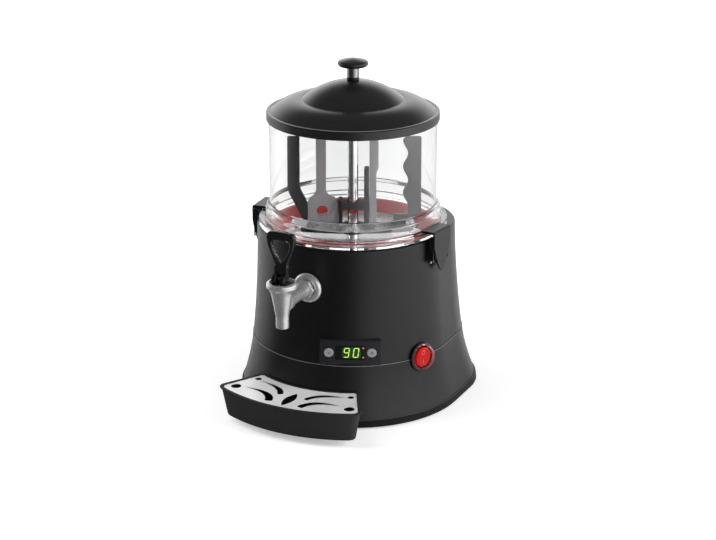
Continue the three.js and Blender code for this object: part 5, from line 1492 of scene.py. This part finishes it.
@dataclass
class Tap(Assembly):
    """Satin tap with a conical spout and a black loop lever that rocks on its bonnet."""

    height: float = 180.0
    spout: float = 203.0
    wall_reach: float = 132.7
    pin: float = 215.0
    spring_foot: float = 181.3
    spring_top: float = 200.4
    coil: float = 5.2
    wire: float = 0.7
    turns: int = 5
    stroke: float = 3.49

    def stand(self, height: float = 0.0) -> Matrix:
        """Moves a piece onto the spout's axis, raised by a height."""
        return Matrix.Translation((0, -self.spout, height))

    def flange(self) -> None:
        """Dished wall flange."""
        outline = [
            (9.3, 0), (19.6, 0), (20.3, 0.6), *bulged((20.3, 1.6), (13.4, 5.2), 1.5, 8), (12.6, 5.0), (12.0, 3.6),
            (10.4, 3.2), (9.3, 3.2),
        ]
        flange = self.maker.turned("tap_rose", outline, Place(0, self.wall_reach, self.height).matrix(), 96)
        self.maker.fit(flange, NICKEL, Body.MACHINE, "tap_flange")

    def casting(self) -> None:
        """Shank, boss, hexagon collar, cup, cone and nozzle with one passage through them."""
        shank_place = Place(0, 0, self.height).matrix()
        cone = [
            (0, 148.3), (7.6, 148.3), (8.3, 148.8), (8.5, 149.6), (8.5, 164.6), (8.9, 166.2), (13.7, 192.6),
            *bulged((14.1, 194.4), (20.2, 204.5), -1.0, 8), (20.2, 207.6), *bulged((20.2, 208), (17.6, 210.9), 0.8, 6),
            (16.9, 211), (0, 211),
        ]
        body = self.maker.turned("tap_casting", cone, self.stand(), 96, 28)
        shank = self.maker.rod("shank_tool", 9, 118, self.spout, shank_place)
        low = self.wall_reach + 5.5
        hexagon = [(0, low), (12.4, low), (13, low + 0.6), (13, low + 4.4), (12.4, low + 5), (0, low + 5)]
        collar = self.maker.turned("collar_tool", hexagon, shank_place, 6)
        boss = self.maker.turned("boss_tool", [(0, 184), (9, 184), (11.4, 189), (11.4, 196), (0, 196)], shank_place, 64)
        self.maker.combined(body, [shank, collar, boss], Change.JOIN)
        passage = [(0, 142), (6, 142), (6, 172), (8, 172), (8, 197), (16.2, 200.4), (16.2, 217), (0, 217)]
        bore = self.maker.turned("passage_tool", passage, self.stand(), 64)
        inlet = self.maker.rod("inlet_tool", 5, 112, 202, shank_place, 32)
        self.maker.combined(body, [bore, inlet], Change.CUT)
        self.maker.fit(body, NICKEL, Body.MACHINE, "tap_body")

    def bonnet(self) -> None:
        """Black bonnet in the cup, bored for the stem."""
        outline = [(2.8, 200.7), (15.8, 200.7), (15.8, 206.2), (15.3, 206.7), (14.2, 206.7), (2.8, 206.7)]
        bonnet = self.maker.turned("cup_bonnet", outline, self.stand(), 64)
        self.maker.fit(bonnet, SATIN_BLACK, Body.MACHINE, "tap_bonnet")

    def spring(self) -> None:
        """Coil spring between the seat and the bonnet; the real one shortens as the stem lifts, and this one keeps its
        length.
        """
        low, high = self.spring_foot + self.wire, self.spring_top - self.wire
        steps = 32 * self.turns
        rings = []
        for step in range(steps + 1):
            share = step / steps
            rise = mix(low, high, share * share * (3 - 2 * share))
            turn = Matrix.Rotation(math.tau * self.turns * share, 4, "Z")
            rings.append([turn @ Vector((self.coil + x, 0, rise + z)) for x, z in circle(self.wire, steps=10)])
        coil = self.maker.lofted("valve_spring", rings, self.stand(), sharp=60)
        self.maker.fit(coil, POLISHED, Body.MACHINE, "tap_spring")
        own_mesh(coil)

    def lever(self) -> None:
        """Loop grip on a forked foot with two cam lobes."""
        upright = self.stand() @ UPRIGHT
        loop_outer = softened([
            (-6.5, 220.7), (6.5, 220.7), (6.5, 230, 4), (20, 262, 7.6), (20, 277.7, 7.6), (0, 278, 6),
            (-20, 277.7, 7.6), (-20, 262, 7.6), (-6.5, 230, 4),
        ], 10)
        loop_inner = quadratic((0, 236.5), (13, 251.7), (13, 263), 12)
        loop_inner += quadratic((13, 263.2), (13, 267), (9, 267), 6)
        loop_inner += quadratic((-9, 267), (-13, 267), (-13, 263.2), 6)
        loop_inner += quadratic((-13, 263), (-13, 251.7), (0, 236.5), 12)[:-1]
        grip = self.maker.plate("lever_grip", loop_outer, -4, 4, upright, [loop_inner], edge=1.9)
        along_pin = self.stand(self.pin) @ Matrix.Rotation(math.radians(90), 4, "Y")
        lobe_outline = [(0, 0), (7.6, 0), (8, 0.4), (8, 5.6), (7.6, 6), (0, 6)]
        lobes = []
        for low in (-9, 3):
            place = Matrix.Translation((0, -5, 0)) @ along_pin @ Matrix.Translation((0, 0, low))
            lobes.append(self.maker.turned("lobe_tool", lobe_outline, place, 48))
        foot = softened([(-9, 215), (9, 215), (9, 234, 3), (-9, 234, 3)])
        bridge = self.maker.plate("bridge_tool", foot, -2.4, 4, upright, edge=0.6)
        self.maker.combined(grip, [bridge, *lobes], Change.JOIN)
        slot = self.maker.plate("slot_tool", rectangle(6, 32), 199, 220.1, self.stand())
        hole = self.maker.rod("pin_tool", 1.8, -30, 30, along_pin, 24)
        self.maker.combined(grip, [slot, hole], Change.CUT)
        self.maker.fit(grip, GRIP_BLACK, Body.LEVER, "tap_handle")

    def build(self) -> None:
        """Makes all pieces of the tap that show."""
        self.flange()
        self.casting()
        self.bonnet()
        self.spring()
        self.lever()


@dataclass
class Clips(Assembly):
    """Two side clips that hook over the bowl's foot."""

    azimuth: float = 84.0
    reach: float = 131.67
    width: float = 42.0
    face: float = 9.3
    inner: float = 6.8
    pivot: float = 205.0
    pin_reach: float = 3.3
    pin: float = 1.8
    taper_top: float = 227.0
    thin_top: float = 193.5
    tip: float = 188.0

    def clip(self, side: Side, node: str, body: Body) -> None:
        """Makes one clip from its side outline, thinned behind its tip and trimmed to a tongue.

        Args:
            side: Side of the machine.
            node: Node that it stands for.
            body: Body that it rides on.
        """
        place = Place(side.value * self.azimuth, self.reach)
        sideways = place.matrix() @ Matrix.Rotation(math.radians(-90), 4, "Y")
        hinge = sideways @ Matrix.Translation((self.pin_reach, self.pivot, 0))
        half = self.width / 2
        outer = [(self.face, self.tip - 1), (self.face, 243.6), *arc((self.face - 2.9, 243.6), 2.9, 0, 90, 6)]
        outline = [*outer, (-11.1, 246.5), (-11.4, 246.1), (-11.4, 243.5), (-11.2, 243.3), (self.inner - 1.2, 243.3),
                   (self.inner, 242.1), (self.inner, self.tip - 1)]
        plate = self.maker.plate(f"clip_plate_{node}", outline, -half, half, sideways, edge=0.5)
        behind = [(self.inner - 1, self.tip - 3), (self.face - 0.2, self.tip - 3), (self.face - 0.8, self.tip),
                  (self.inner - 0.3, self.thin_top + 1), (self.inner - 1, self.thin_top + 1)]
        thinning = self.maker.plate("thinning_tool", behind, -half - 1, half + 1, sideways)
        self.maker.combined(plate, [thinning], Change.CUT)
        beside = half + 0.4
        tongue = quadratic((beside, self.taper_top), (15.5, 208), (4.5, self.tip + 3), 10)
        tongue += quadratic((4.5, self.tip + 3), (2.6, self.tip), (0, self.tip), 4)[1:]
        tongue += [(-x, z) for x, z in reversed(tongue[:-1])]
        kept = self.maker.plate("tongue_tool", [(-beside, 252), (beside, 252), *tongue], -20, 40, place.matrix())
        self.maker.combined(plate, [kept], Change.TRIM)
        ears = []
        for low in (-half, half - 2.5):
            ear = [
                (self.inner + GAP, 202), (self.pin_reach, 202),
                *reversed(arc((self.pin_reach, self.pivot), 3, 180, 270, 6)), (0.3, 237.5), (2.8, 240),
                (self.inner + GAP, 240),
            ]
            ears.append(self.maker.plate("ear_tool", ear, low + 0.02, low + 2.48, sideways, edge=0.3))
        self.maker.combined(plate, ears, Change.JOIN)
        self.maker.combined(plate, [self.maker.rod("hole_tool", self.pin, -30, 30, hinge, 24)], Change.CUT)
        self.maker.fit(plate, SATIN_BLACK, body, node)
        dome = [(0, half + 0.05), (2.3, half + 0.05), *bulged((2.3, half + 0.3), (0, half + 1.3), 0.3, 5)]
        for end in (-1, 1):
            turn = hinge @ Matrix.Rotation(math.radians(90 - 90 * end), 4, "X")
            self.maker.fit(self.maker.turned(f"rivet_{node}_{end}", dome, turn, 24), POLISHED, body)

    def build(self) -> None:
        """Makes both clips."""
        self.clip(Side.LEFT, "clip_left", Body.LEFT_CLIP)
        self.clip(Side.RIGHT, "clip_right", Body.RIGHT_CLIP)


@dataclass
class DripTray(Assembly):
    """Ring-shaped tray in front of the skirt, with its steel grate."""

    housing: Housing
    foot: float = 2.0
    rim: float = 42.5
    foot_reach: float = 212.5
    rim_reach: float = 218.0
    half_angle: float = 29.2
    foot_angle: float = 27.6
    wall: float = 2.4
    clearance: float = 2.0
    corner: float = 12.0

    def ring(self, height: float, inset: float, grow: float = 0.0) -> Ring:
        """Gives a level outline of the tray.

        Args:
            height: Height of the ring.
            inset: How far it lies inside the outer wall.
            grow: How much further it reaches at the front and sides.

        Returns:
            The ring's points.
        """
        share = (height - self.foot) / (self.rim - self.foot)
        front = mix(self.foot_reach, self.rim_reach, share) + grow - inset
        back = self.housing.skirt_at(height) + self.clearance + inset
        half = math.radians(mix(self.foot_angle, self.half_angle, share)) + (grow - inset) / ((front + back) / 2)
        corner = max(self.corner - inset, self.corner / 3)
        return [Vector((x, y, height)) for x, y in self.sector(back, front, half, corner)]

    def polar(self, radius: float, azimuth: float) -> Point2:
        """Gives the place at a radius and an angle in radians from the front."""
        return radius * math.sin(azimuth), -radius * math.cos(azimuth)

    def sector(self, back: float, front: float, half: float, corner: float) -> list[Point2]:
        """Gives a piece of a flat ring with rounded corners.

        Args:
            back: Inner radius.
            front: Outer radius.
            half: Half of its angle in radians.
            corner: Reach of the front corners' rounding.

        Returns:
            The outline's points.
        """
        turn, back_turn = corner / front, corner / back / 2
        side_front, side_back = front - corner, back + corner / 2

        def sweep(radius: float, start: float, end: float, steps: int) -> list[Point2]:
            """Gives points along a circle."""
            return [self.polar(radius, mix(start, end, step / steps)) for step in range(steps + 1)]

        def bend(*places: Point2) -> list[Point2]:
            """Gives the rounding between places given as radius and angle."""
            return quadratic(*(self.polar(*place) for place in places), 8)

        return [
            *sweep(front, turn - half, half - turn, 48),
            *bend((front, half - turn), (front, half), (side_front, half))[1:],
            *bend((side_back, half), (back, half), (back, half - back_turn)),
            *sweep(back, half - back_turn, back_turn - half, 40)[1:],
            *bend((back, back_turn - half), (back, -half), (side_back, -half))[1:],
            *bend((side_front, -half), (front, -half), (front, turn - half))[:-1],
        ]

    def tray(self) -> None:
        """Tray with a rolled lip, a ledge for the grate and two hooks."""
        wall = [(2, 1.6), (2.4, 0.7), (3.2, 0.15), (4, 0), (14, 0), (26, 0), (38, 0), (39.3, 0)]
        lip = [(39.6, 0, 1.2), (40.2, 0, 1.6), (41.9, 0, 1.6), (42.4, 0.2, 1.4), (42.5, 0.8, 1.0)]
        inside = [(4.4, 4), (6, 2.4), (33.6, 2.4), (38, 4.6), (40.2, 4.6), (40.2, 2.4), (48, 2.4)]
        shell = self.maker.lofted("tray_shell", [self.ring(*step) for step in (*wall, *lip)])
        cavity = self.maker.lofted("cavity_tool", [self.ring(*step) for step in inside])
        self.maker.combined(shell, [cavity], Change.CUT, edge=0.35)
        self.maker.fit(shell, TRAY_BLACK, Body.TRAY, "drip_tray")
        for side in Side:
            place = replace(self.housing.hook, reach=0.0, across=side.value * self.housing.hook_place)
            hook = self.maker.plate(
                f"tray_hook_{side.value + 1}", rectangle(10, 3, 0.6), 134.2, 148, place.matrix(), edge=0.4)
            self.maker.fit(hook, TRAY_BLACK, Body.TRAY)

    def spot(self, across: float, along: float) -> Point2:
        """Gives a place on the grate.

        Args:
            across: Share of the half angle.
            along: Share of the depth from body to front.

        Returns:
            The place.
        """
        back = self.housing.skirt_at(self.rim) + self.clearance
        return self.polar(mix(back, self.rim_reach, along), math.radians(self.half_angle) * across)

    def crescent(self, side: Side, tip: Point2, pulls: tuple[Point2, Point2],
                 ends: tuple[Point2, Point2]) -> list[Point2]:
        """Gives one crescent hole.

        Args:
            side: Side of the grate.
            tip: Its thin end.
            pulls: Control points of its back and front edge.
            ends: Corners of its thick end.

        Returns:
            The outline's points.
        """
        def place(point: Point2) -> Point2:
            """Gives a share point's place on this side."""
            return self.spot(point[0] * side.value, point[1])

        back = quadratic(place(tip), place(pulls[0]), place(ends[0]), 24)
        front = quadratic(place(ends[1]), place(pulls[1]), place(tip), 24)[:-1]
        middle = ((back[-1][0] + front[0][0]) / 2, (back[-1][1] + front[0][1]) / 2)
        outward = Vector(middle) - Vector(place(tip))
        bow = Vector(middle) + outward.normalized() * 2.6
        return back + quadratic(back[-1], tuple(bow), front[0], 6)[1:-1] + front

    def grate(self) -> None:
        """Steel grate with round holes, a leaf and four crescents, rolled at its edges."""
        outline = [(point.x, point.y) for point in self.ring(40.2, self.wall + GAP)]
        depth = self.rim_reach - self.housing.skirt_at(self.rim) - self.clearance
        foot, tip = self.spot(0, 0.28), self.spot(0, 0.88)
        left, right = self.spot(-0.156, 0.58), self.spot(0.156, 0.58)
        holes = [quadratic(foot, right, tip, 16)[:-1] + quadratic(tip, left, foot, 16)[:-1]]
        for side in Side:
            holes.append(circle(0.1 * depth, self.spot(0.86 * side.value, 0.74)))
            holes.append(circle(0.065 * depth, self.spot(0.87 * side.value, 0.22)))
            holes.append(self.crescent(side, (0.78, 0.66), ((0.31, 0.34), (0.38, 0.5)), ((0.175, 0.78), (0.265, 0.85))))
            holes.append(self.crescent(side, (0.84, 0.27), ((0.3, 0.06), (0.36, 0.22)), ((0.17, 0.43), (0.245, 0.5))))
        grate = self.maker.plate("grate_sheet", outline, 40.5, 41.7, FLAT, holes, edge=0.35)
        self.maker.fit(grate, GRATE_STEEL, Body.GRATE, "tray_grate")

    def build(self) -> None:
        """Makes the tray and its grate."""
        self.tray()
        self.grate()


@dataclass
class Studio:
    """Pale floor, bright backdrop, soft lamps and the camera at the photograph's angle."""

    focal: float = 1760.0
    picture: tuple[int, int] = (716, 540)
    pitch: float = 19.8
    azimuth: float = 26.5
    distance: float = 2.43
    aim: float = 0.1691
    shift: float = 5.0
    dark_turn: float = -46.0
    dark_edge: Point2 = (0.35, 0.8)
    room_light: Point2 = (1.6, 0.05)
    ceiling_edge: Point2 = (0.25, 0.66)
    ceiling_light: Point2 = (1.0, 0.08)
    fade_edge: Point2 = (0.3, 1.1)
    fade_light: Point2 = (0.4, 1.1)
    through_share: float = 0.28
    mirror_share: float = 0.05
    lamp_aim: float = 0.2
    lamp_distance: float = 2.2

    def aimed(self, name: str, data: bpy.types.ID, target: Vector, way: Vector, distance: float) -> bpy.types.Object:
        """Puts a camera or lamp in the scene so that it looks at a target.

        Args:
            name: Name of the object.
            data: Its camera or lamp.
            target: Point that it looks at, in metres.
            way: Direction from the target to it.
            distance: Its distance in metres.

        Returns:
            The object.
        """
        thing = put(name, data)
        thing.location = target + way * distance
        thing.rotation_euler = way.to_track_quat("Z", "Y").to_euler()
        return thing

    def camera(self) -> None:
        """Camera that looks at the bowl's axis."""
        data = bpy.data.cameras.new("camera")
        data.sensor_width = 36.0
        data.lens = self.focal / self.picture[0] * data.sensor_width
        data.shift_x = self.shift / self.picture[0]
        target = Vector((0, AXIS_SHIFT * MM, self.aim))
        way = heading(self.azimuth, self.pitch)
        bpy.context.scene.camera = self.aimed("camera", data, target, way, self.distance)

    def lamp(self, name: str, azimuth: float, lift: float, size: Point2, power: float) -> None:
        """Adds a soft box that points at the machine.

        Args:
            name: Name of the lamp.
            azimuth: Its direction, from the front towards +X, in degrees.
            lift: Its angle above the floor in degrees.
            size: Width and height in metres.
            power: Power in watts.
        """
        data = bpy.data.lights.new(name, "AREA")
        data.shape = "RECTANGLE"
        data.size, data.size_y = size
        data.energy = power
        lamp = self.aimed(name, data, Vector((0, 0, self.lamp_aim)), heading(azimuth, lift), self.lamp_distance)
        lamp.visible_glossy = False

    def dark_way(self) -> Vector:
        """Gives the direction of the dark part of the room."""
        return heading(self.azimuth + self.dark_turn)

    def floor_material(self) -> bpy.types.Material:
        """Makes the floor's material, white to the camera and dark in mirrors that face the dark part.

        Returns:
            The finished material.
        """
        sheet = NodeSheet("floor_white")
        sheet.plain(Base_Color=(0.86, 0.86, 0.86, 1.0), Roughness=0.9, Specular_IOR_Level=0.0)
        distance = sheet.add("VectorMath", operation="LENGTH")
        sheet.join(sheet.place(), distance.inputs[0])
        glow = sheet.add("Emission")
        fade = sheet.ramp(distance.outputs["Value"], *self.fade_edge, *self.fade_light)
        sheet.join(fade, glow.inputs["Strength"])
        rays = sheet.add("LightPath").outputs
        glossy, through = rays["Is Glossy Ray"], rays["Is Transmission Ray"]
        beyond = sheet.maths("MAXIMUM", sheet.maths("MULTIPLY", through, self.through_share),
                             sheet.maths("MULTIPLY", glossy, self.mirror_share))
        lit = sheet.add("AddShader")
        sheet.join(sheet.shader.outputs[0], lit.inputs[0])
        sheet.join(glow.outputs[0], lit.inputs[1])
        lighted = sheet.maths("MAXIMUM", rays["Is Camera Ray"], beyond)
        choice = sheet.mixed(lighted, sheet.shader.outputs[0], lit.outputs[0])
        way = sheet.add("VectorMath", operation="NORMALIZE")
        sheet.join(sheet.place(), way.inputs[0])
        front = sheet.ramp(sheet.towards(way.outputs["Vector"], self.dark_way()), *self.dark_edge)
        mirrored = sheet.maths("MULTIPLY", sheet.maths("MAXIMUM", glossy, through), front)
        dim = sheet.add("BsdfDiffuse", Color=(0.1, 0.1, 0.1, 1.0))
        sheet.join(sheet.mixed(mirrored, choice, dim.outputs[0]), sheet.output.inputs["Surface"])
        return sheet.material

    def floor(self) -> None:
        """Wide pale floor that is white to the camera outside the machine's shadow."""
        mesh = bmesh.new()
        bmesh.ops.create_grid(mesh, x_segments=8, y_segments=8, size=6.0)
        data = bpy.data.meshes.new("studio_floor")
        mesh.to_mesh(data)
        mesh.free()
        floor = put("studio_floor", data)
        data.materials.append(self.floor_material())

    def world(self) -> None:
        """White backdrop behind the machine and a dim room in front of it."""
        world = bpy.data.worlds.new("studio_world")
        bpy.context.scene.world = world
        world.use_nodes = True
        net = NodeNet(world.node_tree)
        net.tree.nodes.clear()
        way = net.add("TexCoord").outputs["Generated"]
        height = net.add("SeparateXYZ")
        net.join(way, height.inputs[0])
        level = net.ramp(net.towards(way, self.dark_way()), *self.dark_edge, *self.room_light)
        ceiling = net.ramp(height.outputs["Z"], *self.ceiling_edge, *self.ceiling_light)
        room, white = (net.add("Background", Color=WHITE) for _ in range(2))
        net.join(net.maths("MULTIPLY", level, ceiling), room.inputs["Strength"])
        seen = net.mixed(net.add("LightPath").outputs["Is Camera Ray"], room.outputs[0], white.outputs[0])
        net.join(seen, net.add("OutputWorld").inputs["Surface"])

    def build(self) -> None:
        """Sets the stage."""
        bpy.context.scene.view_settings.view_transform = "Standard"
        self.camera()
        self.lamp("soft_right", 96, 20, (1.5, 1.7), 46)
        self.lamp("soft_left", -64, 26, (0.8, 1.7), 30)
        self.lamp("soft_top", -60, 66, (0.9, 1.2), 10)
        self.floor()
        self.world()


def dress_packed_nodes() -> None:
    """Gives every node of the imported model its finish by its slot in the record."""
    for entry in frame["record"]["subparts"]:
        node = frame["nodes"][entry["node"]]
        finish = CAD_FINISHES[entry["material_slot"]]
        node.data.materials.clear()
        node.data.materials.append(finish.material())
        LOG.info("%s is finished in %s", node.name, finish.name)


def main() -> None:
    """Builds the sub-assemblies in order and sets the stage."""
    logging.basicConfig(level=logging.INFO, format="%(name)s: %(message)s")
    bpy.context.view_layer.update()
    maker = Maker()
    housing = Housing(maker)
    Studio().build()
    dress_packed_nodes()
    parts: list[Assembly] = [
        housing, ControlPanel(maker), PowerSwitch(maker), Bowl(maker), Stirrer(maker), Lid(maker), Tap(maker),
        Clips(maker), DripTray(maker, housing),
    ]
    for part in parts:
        part.build()
        LOG.info("%s done", type(part).__name__)


if __name__ == "__main__":
    main()
